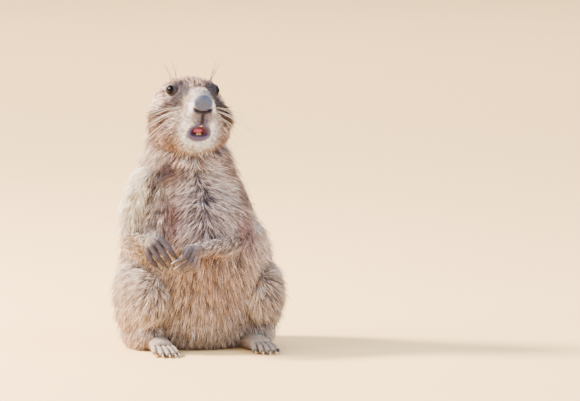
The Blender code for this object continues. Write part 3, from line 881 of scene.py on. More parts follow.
def marked_body(points, ways, parts):
    """The linear colour of the coat at each point, before the finer marks of the face."""
    colours = np.array([linear(BASE_COLOURS[name]) for name in PARTS])[parts]
    one_way = np.stack(head_axes(points), axis=1)
    on_face = among(parts, "head", "muzzle", "ear")
    for colour, middle, radii in BODY_PATCHES:
        colours = laid_over(colours, colour, patch(points, middle, radii) * ~on_face)
    on_head_or_neck = on_face | among(parts, "neck")
    for patches, places, strength in ((HEAD_PATCHES, folded(points), 0.9), (RIGHT_CHEEK_LIGHT_AND_SHADE, one_way, 0.8)):
        for colour, middle, radii, soft in patches:
            cover = patch(places, middle, radii, soft) * on_head_or_neck * strength
            colours = laid_over(colours, colour, cover)
    front = smoothstep(-ways[:, 1], 0.15, 0.6)
    # The breast's parting is a dark line; along the crease before the right arm the dark is painted shade
    for line, width, strength, fade, _ in SEAMS_AND_SHADOW:
        off, beside = off_line(points, line, fade)
        ragged = width * (1.0 + 0.5 * ripple(points, 9.0, 11))
        colours = laid_over(colours, PARTING_AND_SHADOW_COLOUR, bell(off, ragged) * beside * front * strength)
    along = (points[:, 1] - TAIL_ROOT) / TAIL_RUN + 0.03 * ripple(points, 6.0, 5)
    tip = smoothstep(along, TAIL_TIP_STARTS - 0.04, TAIL_TIP_STARTS + 0.06)
    colours = laid_over(colours, TAIL_TIP_COLOUR, tip * among(parts, "tail"))
    colours *= (1.0 + 0.10 * ripple(points, 26.0, 3) + 0.07 * ripple(points, 7.0, 4))[:, None]
    # Painted shade in the hollows of hands and feet, between fingers and toes
    hollow = ((eased(points, edges, 6) - points) * ways).sum(axis=1)
    hollow_shade = smoothstep(hollow, 0.0, 0.14) * among(parts, "hand", "foot") * 0.9
    return laid_over(colours, HOLLOW_SHADE_COLOUR, hollow_shade)


print("seams on the chest:", len(SEAMS_AND_SHADOW))

# %% Marks of the face
def marked_muzzle(colours, points, parts):
    """The colours after the white ring, nose and lips, and how bare of hair each point is."""
    x, forward, up = head_axes(points)
    aside = np.abs(x)
    on_front = among(parts, "head", "muzzle", "ear", "neck")
    fringe_reach = np.hypot(x / 13.9, (up + 29.2) / 15.9) + 0.08 * ripple(points, 4.0, 21)
    fringe = fading(fringe_reach, 0.72, 1.16) * smoothstep(-up, 15.0, 25.0) * (forward > 6)
    colours = laid_over(colours, FRINGE_COLOUR, fringe * on_front * 0.9)
    beside_nose = patch(folded(points), (9.6, 28.5, -10.5), (2.6, 3.5, 6.0)) * on_front
    colours = laid_over(colours, FRINGE_COLOUR, beside_nose * 0.7)
    upper_lip = patch(folded(points), (0, 25, -20.5), (7.0, 9, 6.5)) * on_front
    colours = laid_over(colours, LIP_SHADE, upper_lip * 0.9)

    nose = fading(np.hypot(x / 7.3, (up + 7.4) / 6.6), 0.93, 1.05) * (forward > 20)
    above_line = up - nostril_line(x)
    # Painted shadow under the overhang of the nose
    under_nose_shadow = bell(above_line + 0.9, 1.5) * (forward > 20) * fading(aside, 6.0, 8.5)
    line = bell(above_line, 0.62) * (forward > 20) * fading(aside, 7.2, 8.4)
    cleft = bell(x, 0.9) * (forward > 18) * (up < -13.5) * (up > -27)
    colours = laid_over(colours, UNDER_NOSE_SHADOW_COLOUR, under_nose_shadow)
    colours = laid_over(colours, NOSE_COLOUR, nose)
    colours = laid_over(colours, NOSTRIL_COLOUR, line)
    colours = laid_over(colours, CLEFT_COLOUR, 1.5 * cleft**0.6)

    reach = mouth_reach(x, up)
    near_mouth = (forward > 6) & (up < -16) & (up > -46)
    lip_x, lip_up = np.abs((x - MOUTH_ASIDE) / LIP_WIDE), np.abs((up - LIP_MIDDLE) / LIP_HIGH)
    lip_reach = (lip_x**2.2 + lip_up**2.2) ** (1 / 2.2)
    lip = fading(np.minimum(lip_reach, reach), 0.96, 1.14) * near_mouth
    colours = laid_over(colours, LIP_COLOUR, lip)
    colours = laid_over(colours, MOUTH_COLOUR, fading(reach, 0.55, 0.95) * near_mouth)
    bare_lip = fading(lip_reach, 0.90, 1.08) * near_mouth
    return colours, np.maximum.reduce([smoothstep(cleft, 0.3, 0.7), nose, bare_lip])


def marked_eyes(colours, bare, points):
    """The colours and the bareness after the dark rims of the lids and the pale rings under the eyes."""
    for side in SIDES:
        reach, height, rise = eye_plane(points, side)
        before = before_eye(height)
        colours = laid_over(colours, LID_COLOUR, fading(reach, 1.16, 1.34) * before)
        pale = bell(reach - 1.5, 0.16) * before * smoothstep(-rise, -1.0, 2.0)
        colours = laid_over(colours, EYE_RING_COLOUR, pale * 0.25)
        bare = np.maximum(bare, fading(reach, 1.18, 1.28) * before)
    return colours, bare


print("bare lips reach", LIP_WIDE, "mm to each side of the mouth's middle")

# %% Paint the skin
found = [form_tree.find(p * MM)[1] for p in points]
parts = form_part[found]
coat = eased(form_coat[found], edges, 10)[:, 0]
colours, bare = marked_muzzle(marked_body(points, ways, parts), points, parts)
colours, bare = marked_eyes(colours, bare, points)
colours = eased(np.clip(colours, 0.004, 0.95), edges, 2)
print("painted", len(points), "skin vertices; bare share", round(float((bare > 0.5).mean()), 3))

# %% [markdown]
# ## The lie of the coat
# Hair runs backward from the nose over the head, down the neck and trunk, and along every limb to its
# tip. On the chest the streams part along the breastbone and meet again beside it, which gives the dark
# seam of the breast and the seam before the right arm, where the dark is painted shade. Each part states
# its own way, and easing the ways over the skin lets them turn into each other.

# %% Ways of the hair
lie = form_lie[found].copy()
x, forward, up = head_axes(points)
nose_tip = np.array(on_head(0, 31, -6))
on_face = among(parts, "head", "muzzle")
from_nose = points - nose_tip
from_nose /= np.linalg.norm(from_nose, axis=1, keepdims=True)
lie[on_face] = (from_nose + np.array([0.0, 0.25, -0.05]))[on_face]

body = among(parts, "trunk", "neck")
sideways = np.clip((points[:, 0] - 4.0) / 40.0, -1.0, 1.0)
down = np.stack([0.30 * sideways, np.full(len(points), 0.28), -np.ones(len(points))], axis=1)
off, _ = off_line(points, PARTING)
high = smoothstep(points[:, 2], 92.0, 138.0)
left_fan = np.stack([0.35 + 0.60 * high, 0.0 * high, -(0.95 - 0.60 * high)], axis=1)
inner_stream = np.array([-0.62, 0.0, -0.78])
outer_stream = np.array([0.42, 0.0, -0.90])
MEETING = -22.0  # where the two streams of the right side meet
right_streams = np.where((off > MEETING)[:, None], inner_stream, outer_stream)
chest_way = np.where((off > 0)[:, None], left_fan, right_streams)
on_chest = smoothstep(-ways[:, 1], 0.25, 0.6) * smoothstep(points[:, 2], 70, 92)
on_chest *= fading(points[:, 2], 148, 156) * fading(np.abs(points[:, 0]), 32, 42)
body_way = down + (chest_way - down) * on_chest[:, None]
lie[body] = body_way[body]
lie[among(parts, "arm")] += [0.0, 0.0, -0.45]  # where an arm points at the viewer, its hair hangs


def laid_flat(vectors, ways):
    flat = vectors - ways * (vectors * ways).sum(axis=1, keepdims=True)
    return flat / np.linalg.norm(flat, axis=1, keepdims=True).clip(1e-6)


for _ in range(3):
    lie = laid_flat(eased(laid_flat(lie, ways), edges, 4), ways)
for side in SIDES:
    reach, height, _ = eye_plane(points, side)
    away = points - np.array(EYE_MIDDLES[side])
    turn = fading(reach, 1.9, 2.7) * before_eye(height)
    lie = laid_flat(lie * (1.0 - turn[:, None]) + away / 6.0 * turn[:, None], ways)
    coat = coat * (1.0 - 0.65 * fading(reach, 1.3, 3.0) * before_eye(height))
print("the lie of the hair is known at", len(lie), "vertices")

# %% Unwrap of the skin
bpy.context.view_layer.objects.active = skin
skin.select_set(True)
bpy.ops.object.mode_set(mode="EDIT")
bpy.ops.mesh.select_all(action="SELECT")
bpy.ops.uv.smart_project(angle_limit=math.radians(66), island_margin=0.002)
bpy.ops.object.mode_set(mode="OBJECT")
skin.data.uv_layers.active.name = "unwrap"
print("unwrapped", len(skin.data.polygons), "faces")

# %% [markdown]
# ## One tuft, many thousand times
# A coat this short is best as small solid tufts: each is a three-sided spike cut from a cone, with a
# bend in all but the shortest. The roots are drawn at random over the skin, more of them where the hair
# is short, and every tuft gets its length, bend, clump and colour from the skin under it. Tufts of a
# clump lean together, which gives the tousled look.

# %% Tuft patterns
def tuft_pattern(bends):
    """A cone's vertices (across, thick, along) and triangles, cut at the bends."""
    bm = bmesh.new()
    upright = Matrix.Translation((0, 0, 0.5))
    sizes = {"segments": 3, "radius1": 1.0, "radius2": 0.0, "depth": 1.0}
    bmesh.ops.create_cone(bm, cap_ends=True, matrix=upright, **sizes)
    bmesh.ops.remove_doubles(bm, verts=bm.verts, dist=1e-5)
    for height in bends:
        whole = bm.verts[:] + bm.edges[:] + bm.faces[:]
        bmesh.ops.bisect_plane(bm, geom=whole, plane_co=(0, 0, height), plane_no=(0, 0, 1))
    bmesh.ops.triangulate(bm, faces=bm.faces)
    bmesh.ops.recalc_face_normals(bm, faces=bm.faces)
    bm.verts.ensure_lookup_table()
    corners = np.array([v.co[:] for v in bm.verts])
    faces = np.array([[v.index for v in f.verts] for f in bm.faces])
    bm.free()
    fullness = (1.0 - corners[:, 2]) ** -0.35
    corners[:, :2] *= np.where(corners[:, 2] < 0.99, fullness, 0.0)[:, None]
    return corners, faces


BENT_TUFT = tuft_pattern([0.5])
SHORT_TUFT = tuft_pattern([])
print("a bent tuft has", len(BENT_TUFT[1]), "triangles, a short one", len(SHORT_TUFT[1]))

# %% Roots
TUFTS_PER_MM2 = {
    "trunk": 1.25,
    "neck": 1.7,
    "head": 3.0,
    "muzzle": 4.6,
    "ear": 4.0,
    "arm": 1.7,
    "thigh": 1.1,
    "hand": 4.0,
    "foot": 2.6,
    "tail": 1.2,
}
UNDERSIDE = 2.5  # mm above the floor, under which few tufts grow
draw = np.random.default_rng(7)
skin.data.calc_loop_triangles()
triangles = column(skin.data.loop_triangles, "vertices", 3, np.int32)
loops = column(skin.data.loop_triangles, "loops", 3, np.int32)
flat_map = column(skin.data.uv_layers["unwrap"].uv, "vector", 2)
a, b, c = (points[triangles[:, k]] for k in range(3))
areas = np.linalg.norm(np.cross(b - a, c - a), axis=1) / 2.0
density = by_part(TUFTS_PER_MM2)[parts]
density = eased(density, edges, 4)[:, 0] * fading(bare, 0.2, 0.6)
seated = (points[:, 2] < UNDERSIDE) & (ways[:, 2] < -0.3)
density = np.where(seated, 0.15 * density, density)
wanted = areas * density[triangles].mean(axis=1)
count = int(wanted.sum())
chosen = np.sort(draw.choice(len(triangles), count, p=wanted / wanted.sum()))
shares = draw.dirichlet((1.0, 1.0, 1.0), count)


def at_roots(values, corners=triangles):
    picked = values[corners[chosen]]
    return (picked * shares.reshape(count, 3, *[1] * (picked.ndim - 2))).sum(axis=1)


root = at_roots(points)
upward = at_roots(ways)
upward /= np.linalg.norm(upward, axis=1, keepdims=True)
way = laid_flat(at_roots(lie), upward)
depth = at_roots(coat)
hue = at_roots(colours)
root_map = at_roots(flat_map, loops)
root_part = parts[triangles[chosen][:, 0]]
print(count, "tufts take root")

# %% Lengths, bends and clumps
# How many times the coat's depth a hair is long: 2 on the body, where it lies flatter than on the head
HAIR_TIMES = {"head": 1.5, "muzzle": 1.5, "ear": 1.6, "hand": 4.2, "foot": 3.4}
HAIRS_IN_CLUMP = {"head": 7, "muzzle": 7, "ear": 7}
# Depths of the coat, and half a tuft's width there, in mm
COAT_DEPTHS, TUFT_HALVES = [0.4, 1.5, 5.0], [0.13, 0.19, 0.30]
loose = 0.75 + 0.5 * draw.random(count)
length = (depth * by_part(HAIR_TIMES, 2.0)[root_part] + 0.6) * loose
rise = depth * (0.55 + 0.5 * draw.random(count))
ragged = draw.random(count) < 0.11
rise = np.where(ragged, rise * 1.8, rise)
length = np.where(ragged, length * 1.15, length)
side = np.cross(way, upward)
way = way + side * draw.normal(0.0, 0.16, count)[:, None]
way /= np.linalg.norm(way, axis=1, keepdims=True)


def nearest_of(share):
    """For each root, the nearest of the roots that are drawn, each with the chance of its share."""
    drawn = np.flatnonzero(draw.random(count) < share)
    tree = tree_of(root[drawn])
    return drawn[[tree.find(p)[1] for p in root]]


leader = nearest_of(1.0 / by_part(HAIRS_IN_CLUMP, 14)[root_part])
fleck = nearest_of(0.2)
tips = root + way * length[:, None] * 0.9
lean = tips[leader] - tips
together = np.clip(depth / 5.0, 0.0, 1.0) * (0.3 + 0.35 * draw.random(count))
reach = np.linalg.norm(lean, axis=1)
together *= np.minimum(1.0, 0.55 * length / reach.clip(0.1))
lean = lean * together[:, None]
curl = draw.normal(0.0, 0.06, count) * length
thick = np.interp(depth, COAT_DEPTHS, TUFT_HALVES)
print("mean length", round(float(length.mean()), 1), "mm")

# %% Colours along a tuft
def hairs_of(share):
    """Picks hairs at random, each with the chance that its root has."""
    return draw.random(count) < share


# How strongly the hairs of a part differ in tone; 1.2 on the body
TICKING = {"head": 1.5, "muzzle": 1.05, "ear": 0.8, "hand": 1.0, "foot": 0.7}
on_one_side = folded(root)
above_chin = on_one_side[:, 2] > -40
plain = patch(on_one_side, EYE_SHADOW_AT, (7, 15, 11)) * above_chin  # almost of one tone
speckled = patch(on_one_side, (0, 2, 8), (9, 22, 9)) * above_chin  # the most mixed, over the brow
ticking = by_part(TICKING, 1.2)[root_part]
ticking = ticking * (1.0 - 0.92 * plain) * (1.0 + 0.6 * speckled)
# Hairs turn dark along the breast's parting, and along the crease before the right arm as painted shade
seam_and_shadow = np.zeros(count)
for line, _, _, fade, width in SEAMS_AND_SHADOW:
    off, beside = off_line(root, line, fade)
    seam_and_shadow = np.maximum(seam_and_shadow, bell(off, width) * beside * smoothstep(-upward[:, 1], 0.15, 0.6))
tone = draw.normal(0.0, 0.2, count)
tone = tone + draw.normal(0.0, 0.24, count)[fleck] + draw.normal(0.0, 0.1, count)[leader]
shade = np.exp(tone * ticking)
for chance, factor in ((0.14, 0.42), (0.14, 1.4)):  # single hairs, much darker or lighter
    shade = np.where(hairs_of(chance * ticking), shade * factor, shade)
for chance, factor in ((0.10, 0.6), (0.12, 1.3)):  # whole flecks of hairs
    shade = np.where(hairs_of(chance)[fleck], shade * factor**ticking, shade)
hue = hue * shade[:, None]
seam_and_shadow_hairs = hairs_of(0.23 * seam_and_shadow) | (hairs_of(0.25 * seam_and_shadow)[fleck] & (seam_and_shadow > 0.1))
hue = np.where(seam_and_shadow_hairs[:, None], linear(PARTING_AND_SHADOW_COLOUR), hue)
WHITE_FROM, WHITE_FULL = 0.62, 0.8  # linear tones between which hair turns white down to its root
white = smoothstep(hue.mean(axis=1), WHITE_FROM, WHITE_FULL)
FLOOR_GAP = 0.25  # mm that every hair keeps above the floor
ROOT_DEPTH = 0.25  # mm that a tuft reaches under the skin
PATCH_HALF = 0.0015  # about half the width of a tuft's patch on the unwrap
# How bright a hair is along its length, as a share of its colour
ROOT_TONE, MIDDLE_TONE, TIP_TONE, WHITE_ROOT_TONE = 0.30, 0.92, 1.25, 0.95
print("hairs that are white to the root:", int((white > 0.5).sum()))


def tuft_piece(name, chosen, pattern):
    """Joins the chosen tufts into one mesh, with their colours and their patches on the unwrap."""
    corners, faces = pattern
    n, k = len(chosen), len(corners)
    s = corners[:, 2][None, :, None]
    span = (length[chosen, None, None] * s) * way[chosen, None, :]
    lift = (rise[chosen, None, None] * (1.0 - (1.0 - s) ** 1.8) - ROOT_DEPTH) * upward[chosen, None, :]
    drift = lean[chosen, None, :] * s**1.5 + side[chosen, None, :] * curl[chosen, None, None] * s**2
    middle = root[chosen, None, :] + span + lift + drift
    half = thick[chosen, None, None]
    across = side[chosen, None, :] * corners[None, :, 0, None] * half
    through = upward[chosen, None, :] * corners[None, :, 1, None] * half * 0.7
    verts = (middle + across + through).reshape(-1, 3)
    verts[:, 2] = np.maximum(verts[:, 2], FLOOR_GAP)
    verts = turned(verts) * MM
    tris = (faces[None] + (np.arange(n) * k)[:, None, None]).reshape(-1, 3)
    mesh = bpy.data.meshes.new(name)
    mesh.vertices.add(n * k)
    mesh.vertices.foreach_set("co", verts.ravel())
    mesh.loops.add(tris.size)
    mesh.loops.foreach_set("vertex_index", tris.ravel())
    mesh.polygons.add(len(tris))
    mesh.polygons.foreach_set("loop_start", np.arange(0, tris.size, 3))
    mesh.update(calc_edges=True)
    along = corners[:, 2]
    root_to_tip = np.interp(along, [0.0, 0.5, 1.0], [ROOT_TONE, MIDDLE_TONE, TIP_TONE])[None, :]
    root_to_tip = root_to_tip + white[chosen, None] * np.maximum(WHITE_ROOT_TONE - root_to_tip, 0.0)
    paint = hue[chosen, None, :] * root_to_tip[:, :, None]
    paint = np.clip(np.concatenate([paint, np.ones((n, k, 1))], axis=2), 0.002, 1.0)
    layer = mesh.color_attributes.new("coat_colour", "FLOAT_COLOR", "POINT")
    layer.data.foreach_set("color", paint.ravel())
    taper = (1.0 - along)[None, :, None] ** 0.35
    spot = root_map[chosen, None, :] + corners[None, :, :2] * taper * PATCH_HALF
    patches = mesh.uv_layers.new(name="OFBake")
    patches.uv.foreach_set("vector", spot.reshape(-1, 2)[tris.ravel()].ravel())
    mesh.shade_smooth()
    mesh.materials.append(coat_finish)
    piece = object_of(name, mesh)
    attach(piece, BODY)
    return piece

# %% [markdown]
# ## Finishes
# Fur, skin, horn, enamel and flesh all vary a little from place to place, so one shader group called
# mottle gives each of them its slow changes of tone, with its own scale, and lends the rougher ones a
# fine relief. What is the same all over a surface, such as gloss or sheen, is set on the shader itself.

# %% Shader groups
def socket_group(name, sockets):
    """A shader group with its named sockets, given as (name, direction, kind, value)."""
    group = bpy.data.node_groups.new(name, "ShaderNodeTree")
    for label, direction, kind, value in sockets:
        made = group.interface.new_socket(label, in_out=direction, socket_type="NodeSocket" + kind)
        if value is not None:
            made.default_value = value
    return group, group.nodes.new("NodeGroupInput"), group.nodes.new("NodeGroupOutput")


def mottle_group():
    sockets = [
        ("Colour", "INPUT", "Color", (1, 1, 1, 1)),
        ("Scale", "INPUT", "Float", 200.0),
        ("Amount", "INPUT", "Float", 0.2),
        ("Colour", "OUTPUT", "Color", None),
        ("Relief", "OUTPUT", "Float", None),
    ]
    group, given, result = socket_group("mottle", sockets)
    nodes, links = group.nodes, group.links
    place = nodes.new("ShaderNodeTexCoord")
    noise = nodes.new("ShaderNodeTexNoise")
    noise.inputs["Detail"].default_value = 4.0
    links.new(place.outputs["Object"], noise.inputs["Vector"])
    links.new(given.outputs["Scale"], noise.inputs["Scale"])
    centred = nodes.new("ShaderNodeMath")
    centred.operation = "SUBTRACT"
    centred.inputs[1].default_value = 0.5
    links.new(noise.outputs["Fac"], centred.inputs[0])
    gain = nodes.new("ShaderNodeMath")
    gain.operation = "MULTIPLY_ADD"
    gain.inputs[2].default_value = 1.0
    links.new(centred.outputs[0], gain.inputs[0])
    links.new(given.outputs["Amount"], gain.inputs[1])
    product = nodes.new("ShaderNodeVectorMath")
    product.operation = "SCALE"
    links.new(given.outputs["Colour"], product.inputs[0])
    links.new(gain.outputs[0], product.inputs["Scale"])
    links.new(product.outputs["Vector"], result.inputs["Colour"])
    links.new(noise.outputs["Fac"], result.inputs["Relief"])
    return group


MOTTLE = mottle_group()


def attribute(nodes, name, kind="Color"):
    node = nodes.new("ShaderNodeAttribute")
    node.attribute_name = name
    return node.outputs[kind]


def ramp(nodes, links, value, stops):
    """A colour ramp over a value, with stops of (place, colour)."""
    node = nodes.new("ShaderNodeValToRGB")
    elements = node.color_ramp.elements
    while len(elements) < len(stops):
        elements.new(0.5)
    for element, (at, colour) in zip(elements, stops):
        element.position = at
        element.color = (*linear(colour), 1.0)
    links.new(value, node.inputs["Fac"])
    return node.outputs["Color"]


def finish(name, roughness, colour, scale, amount, bumps=None, **settings):
    """A material with a Principled shader, whose colour runs through the mottle group.

    The colour is plain values, a colour attribute's name, or a number's name and the stops of its ramp.
    Bumps are their strength and height in mm. Other settings go by the names of the shader's sockets."""
    made = bpy.data.materials.new(name)
    made.use_nodes = True
    nodes, links = made.node_tree.nodes, made.node_tree.links
    shader = nodes["Principled BSDF"]
    shader.inputs["Roughness"].default_value = roughness
    for label, value in settings.items():
        shader.inputs[label.replace("_", " ")].default_value = value
    mottle = nodes.new("ShaderNodeGroup")
    mottle.node_tree = MOTTLE
    mottle.inputs["Scale"].default_value = scale
    mottle.inputs["Amount"].default_value = amount
    if isinstance(colour, str):
        links.new(attribute(nodes, colour), mottle.inputs["Colour"])
    elif isinstance(colour[0], str):
        number, stops = colour
        links.new(ramp(nodes, links, attribute(nodes, number, "Fac"), stops), mottle.inputs["Colour"])
    else:
        mottle.inputs["Colour"].default_value = (*linear(colour), 1.0)
    links.new(mottle.outputs["Colour"], shader.inputs["Base Color"])
    if bumps is not None:
        bump = nodes.new("ShaderNodeBump")
        bump.inputs["Strength"].default_value = bumps[0]
        bump.inputs["Distance"].default_value = bumps[1] * MM
        links.new(mottle.outputs["Relief"], bump.inputs["Height"])
        links.new(bump.outputs["Normal"], shader.inputs["Normal"])
    return made


print("mottle group has", len(MOTTLE.nodes), "nodes")

# %% Materials
coat_finish = finish("fur", 0.7, "coat_colour", 900.0, 0.35, Specular_IOR_Level=0.12)

skin_finish = finish("skin", 0.6, "skin_colour", 1400.0, 0.5, (0.5, 0.25), Specular_IOR_Level=0.2)
nodes, links = skin_finish.node_tree.nodes, skin_finish.node_tree.links
dampness = nodes.new("ShaderNodeMapRange")  # bare skin is damp, and so less rough
dampness.inputs["To Min"].default_value = 0.75
dampness.inputs["To Max"].default_value = 0.42
links.new(attribute(nodes, "bare", "Fac"), dampness.inputs["Value"])
links.new(dampness.outputs["Result"], nodes["Principled BSDF"].inputs["Roughness"])

IRIS = [(0.0, (4, 4, 5)), (0.42, (5, 5, 6)), (0.48, (26, 14, 8)), (0.58, (38, 20, 10)), (0.66, (6, 5, 5))]
eye_finish = finish("eyeball", 0.07, ("from_pupil", IRIS), 1600.0, 0.8, Specular_IOR_Level=0.08)

HORN = [(0.1, (40, 34, 34)), (0.6, (84, 74, 68)), (1.0, (190, 174, 156))]
gloss = {"Specular_IOR_Level": 0.5, "Coat_Weight": 0.2}
claw_finish = finish("claw", 0.35, ("along", HORN), 1500.0, 0.5, (0.25, 0.1), **gloss)

ENAMEL = [(0.2, (190, 130, 40)), (1.0, (250, 216, 110))]
gloss = {"Specular_IOR_Level": 0.6, "Coat_Weight": 0.4}
tooth_finish = finish("enamel", 0.22, ("along", ENAMEL), 1200.0, 0.3, (0.15, 0.08), **gloss)

FLESH = (190, 94, 124)
FLESH_DEPTHS = (0.002, 0.0006, 0.0004)  # for red, green and blue light, before the shader's own scale
wet = {"Specular_IOR_Level": 0.35, "Subsurface_Weight": 0.15, "Subsurface_Radius": FLESH_DEPTHS}
tongue_finish = finish("flesh", 0.42, FLESH, 1800.0, 0.4, (0.5, 0.2), **wet)

PALE_HAIR = [(0.0, (120, 100, 86)), (0.3, (226, 212, 196)), (0.6, (240, 230, 216)), (0.85, (120, 98, 82))]
whisker_finish = finish("whisker", 0.4, ("along", PALE_HAIR), 400.0, 0.2, Specular_IOR_Level=0.5)
DARK_HAIR = [(0.0, (52, 42, 38)), (1.0, (120, 100, 88))]
brow_finish = finish("brow_hair", 0.4, ("along", DARK_HAIR), 400.0, 0.2, Specular_IOR_Level=0.5)
print("materials:", len(bpy.data.materials))

# %% Coat pieces
MOST_BENT, MOST_SHORT = 19500, 48000  # tufts in a piece, which keep it under 200,000 triangles
SHORT_DEPTH = 1.25  # mm of coat under which a tuft needs no bend
GROUPS = {
    "face": ["head", "muzzle", "ear"],
    "neck": ["neck"],
    "trunk": ["trunk"],
    "arms": ["arm", "hand"],
    "legs": ["thigh", "foot"],
    "tail": ["tail"],
}
coat_total = 0
for group, names in GROUPS.items():
    mine = among(root_part, *names)
    kinds = [
        ("", depth >= SHORT_DEPTH, BENT_TUFT, MOST_BENT),
        ("_short", depth < SHORT_DEPTH, SHORT_TUFT, MOST_SHORT),
    ]
    for ending, fits, pattern, most in kinds:
        members = np.flatnonzero(mine & fits)
        members = members[np.argsort(root[members, 2], kind="stable")]
        for n, start in enumerate(range(0, len(members), most)):
            piece = tuft_piece(f"coat_{group}{ending}_{n + 1}", members[start : start + most], pattern)
            coat_total += len(piece.data.polygons)
            print(piece.name, "has", len(piece.data.polygons), "triangles")
print("the coat has", coat_total, "triangles")

# %% Finish the skin
UNDER_FUR_SHADE = 0.4  # painted shade: skin under the fur is this share as bright as the fur, so gaps read dark
PAW_UNDER_FUR_SHADE = 0.8  # and this share on hands and feet, painted shade as well
skin.data.vertices.foreach_set("co", (turned(points) * MM).ravel())
plain_skin = np.maximum(bare, 0.8 * smoothstep(colours.mean(axis=1), WHITE_FROM, WHITE_FULL))
shown = colours * (UNDER_FUR_SHADE + (1.0 - UNDER_FUR_SHADE) * np.clip(plain_skin, 0.0, 1.0))[:, None]
shown = np.where(among(parts, "hand", "foot")[:, None], colours * PAW_UNDER_FUR_SHADE, shown)
layer = skin.data.color_attributes.new("skin_colour", "FLOAT_COLOR", "POINT")
layer.data.foreach_set("color", np.concatenate([shown, np.ones((len(shown), 1))], axis=1).ravel())
bare_layer = skin.data.attributes.new("bare", "FLOAT", "POINT")
bare_layer.data.foreach_set("value", bare)
skin.data.materials.clear()
skin.data.materials.append(skin_finish)
skin.data.shade_smooth()
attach(skin, BODY)
PAIRED_NODES = ("ear", "upper_arm", "forearm", "forepaw", "thigh", "hind_foot")
flesh = ["head", "neck", "trunk", "tail"] + [f"{name}_{side}" for side in SIDES for name in PAIRED_NODES]
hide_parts(*flesh)
print("skin stands for", len(flesh), "nodes")

# %% [markdown]
# ## Eyes, teeth, tongue, claws and whiskers
# These are hard or wet, so they stay pieces of their own. An eyeball is a sphere with the bulge of a
# cornea, whose rings of colour are counted from the way that it looks. Teeth, claws and whiskers are
# swept limbs again, from the blunt tooth to the hair-thin whisker.

# %% Small pieces
def small_piece(name, bm, material, slot, *nodes_replaced):
    """Turns a piece's points, in metres, with the head, and makes the piece of them."""
    there = turned(np.array([v.co[:] for v in bm.verts]) / MM) * MM
    for v, place in zip(bm.verts, there):
        v.co = place
    piece = object_of(name, mesh_of(name, bm))
    piece.data.materials.append(material)
    piece.data.shade_smooth()
    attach(piece, BODY)
    if nodes_replaced:
        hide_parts(*nodes_replaced)
    return piece


def clay_along():
    bm = bmesh.new()
    bm.verts.layers.float.new("along")
    return bm


CORNEA_RISE, CORNEA_WIDE = 0.35, 30.0  # mm, and degrees from the middle of the gaze
for side, sign in SIDES.items():
    bm = bmesh.new()
    from_pupil = bm.verts.layers.float.new("from_pupil")
    bmesh.ops.create_uvsphere(bm, u_segments=48, v_segments=32, radius=1.0)
    for v in bm.verts:
        angle = math.degrees(v.co.angle(Vector((0, 0, 1))))
        v[from_pupil] = angle / 90.0
        v.co *= (EYE_RADIUS + CORNEA_RISE * math.exp(-((angle / CORNEA_WIDE) ** 2))) * MM
    gaze = Vector(eye_axes(sign)[0])
    bmesh.ops.transform(bm, matrix=gaze.to_track_quat("Z", "Y").to_matrix().to_4x4(), verts=bm.verts)
    bmesh.ops.translate(bm, vec=EYE_MIDDLES[side] * MM, verts=bm.verts)
    small_piece("eyeball_" + side, bm, eye_finish, "eye", "eye_" + side)

TEETH = {
    "lower": {"root": (14.0, -38.0), "bend": (17.2, -35.0), "tip": (18.6, -31.6), "gap": 1.12},
    "upper": {"root": (18.0, -18.0), "bend": (23.0, -21.0), "tip": (24.6, -26.4), "gap": 1.02},
}
TOOTH_SIZES = [(0.95, 0.9), (1.0, 0.8), (0.98, 0.55)]
for name, tooth in TEETH.items():
    bm = clay_along()
    for sign in SIDES.values():
        path = [on_head(sign * tooth["gap"], *tooth[key]) for key in ("root", "bend", "tip")]
        limb(bm, path, TOOTH_SIZES, up=(0, 1, 0), rings=16, around=16, bluntness=10.0)
    small_piece(name + "_teeth", bm, tooth_finish, "tooth", name + "_incisors")

TONGUE_PATH = [on_head(0, 4, -33.0), on_head(0, 12, -29.8), on_head(-0.6, 18.2, -29.4)]
TONGUE_SIZES = [(5.4, 3.0), (5.0, 2.8), (3.9, 2.1)]
bm = bmesh.new()
tongue = limb(bm, TONGUE_PATH, TONGUE_SIZES, rings=32, around=32, bluntness=6.0)
for v in tongue:
    v.co.z -= 0.7 * MM * math.exp(-((v.co.x / MM / 1.0) ** 2))
small_piece("tongue_flesh", bm, tongue_finish, "tongue", "tongue")

HAND_CLAW_SIZES = [(1.05, 1.25), (0.85, 1.0), (0.25, 0.35)]
TOE_CLAW_SIZES = [(1.2, 1.4), (1.0, 1.2), (0.35, 0.4)]
claw_sets = {
    "claws_of_hands": (hand_claws, HAND_CLAW_SIZES),
    "claws_of_feet": (foot_claws, TOE_CLAW_SIZES),
}
for name, (claws, sizes) in claw_sets.items():
    bm = clay_along()
    for path in claws:
        limb(bm, path, sizes, rings=14, around=12, bluntness=10.0)
    for v in bm.verts:
        v.co.z = max(v.co.z, 0.3 * MM)
    small_piece(name, bm, claw_finish, "claw")
print("small pieces are in place")

# %% Whiskers
skin_tree = tree_of(points)
WHISKER_SIZES = [(0.12, 0.12), (0.10, 0.10), (0.10, 0.10), (0.05, 0.05)]
PAD_ROWS = [
    # start on the pad: aside, forward, up; end: aside, forward, up; whiskers in the row
    ((11.4, 20, -10.5), (41, 6, -21), 3),
    ((12.4, 19, -13.0), (49, 4, -33), 5),
    ((13.0, 18, -16.5), (47, 4, -43), 4),
    ((12.4, 17, -21.0), (33, 6, -46), 3),
]
BROW_ROWS = [((12.0, 0, 10), (19, 4, 25), 3), ((15.0, -5, 9), (25, -6, 23.5), 3)]
BROW_SIZES = [(0.15, 0.15), (0.13, 0.13), (0.10, 0.10), (0.04, 0.04)]
ROW_STEPS = (2.6, -4.0, -0.8)  # from the first root of a row to its last


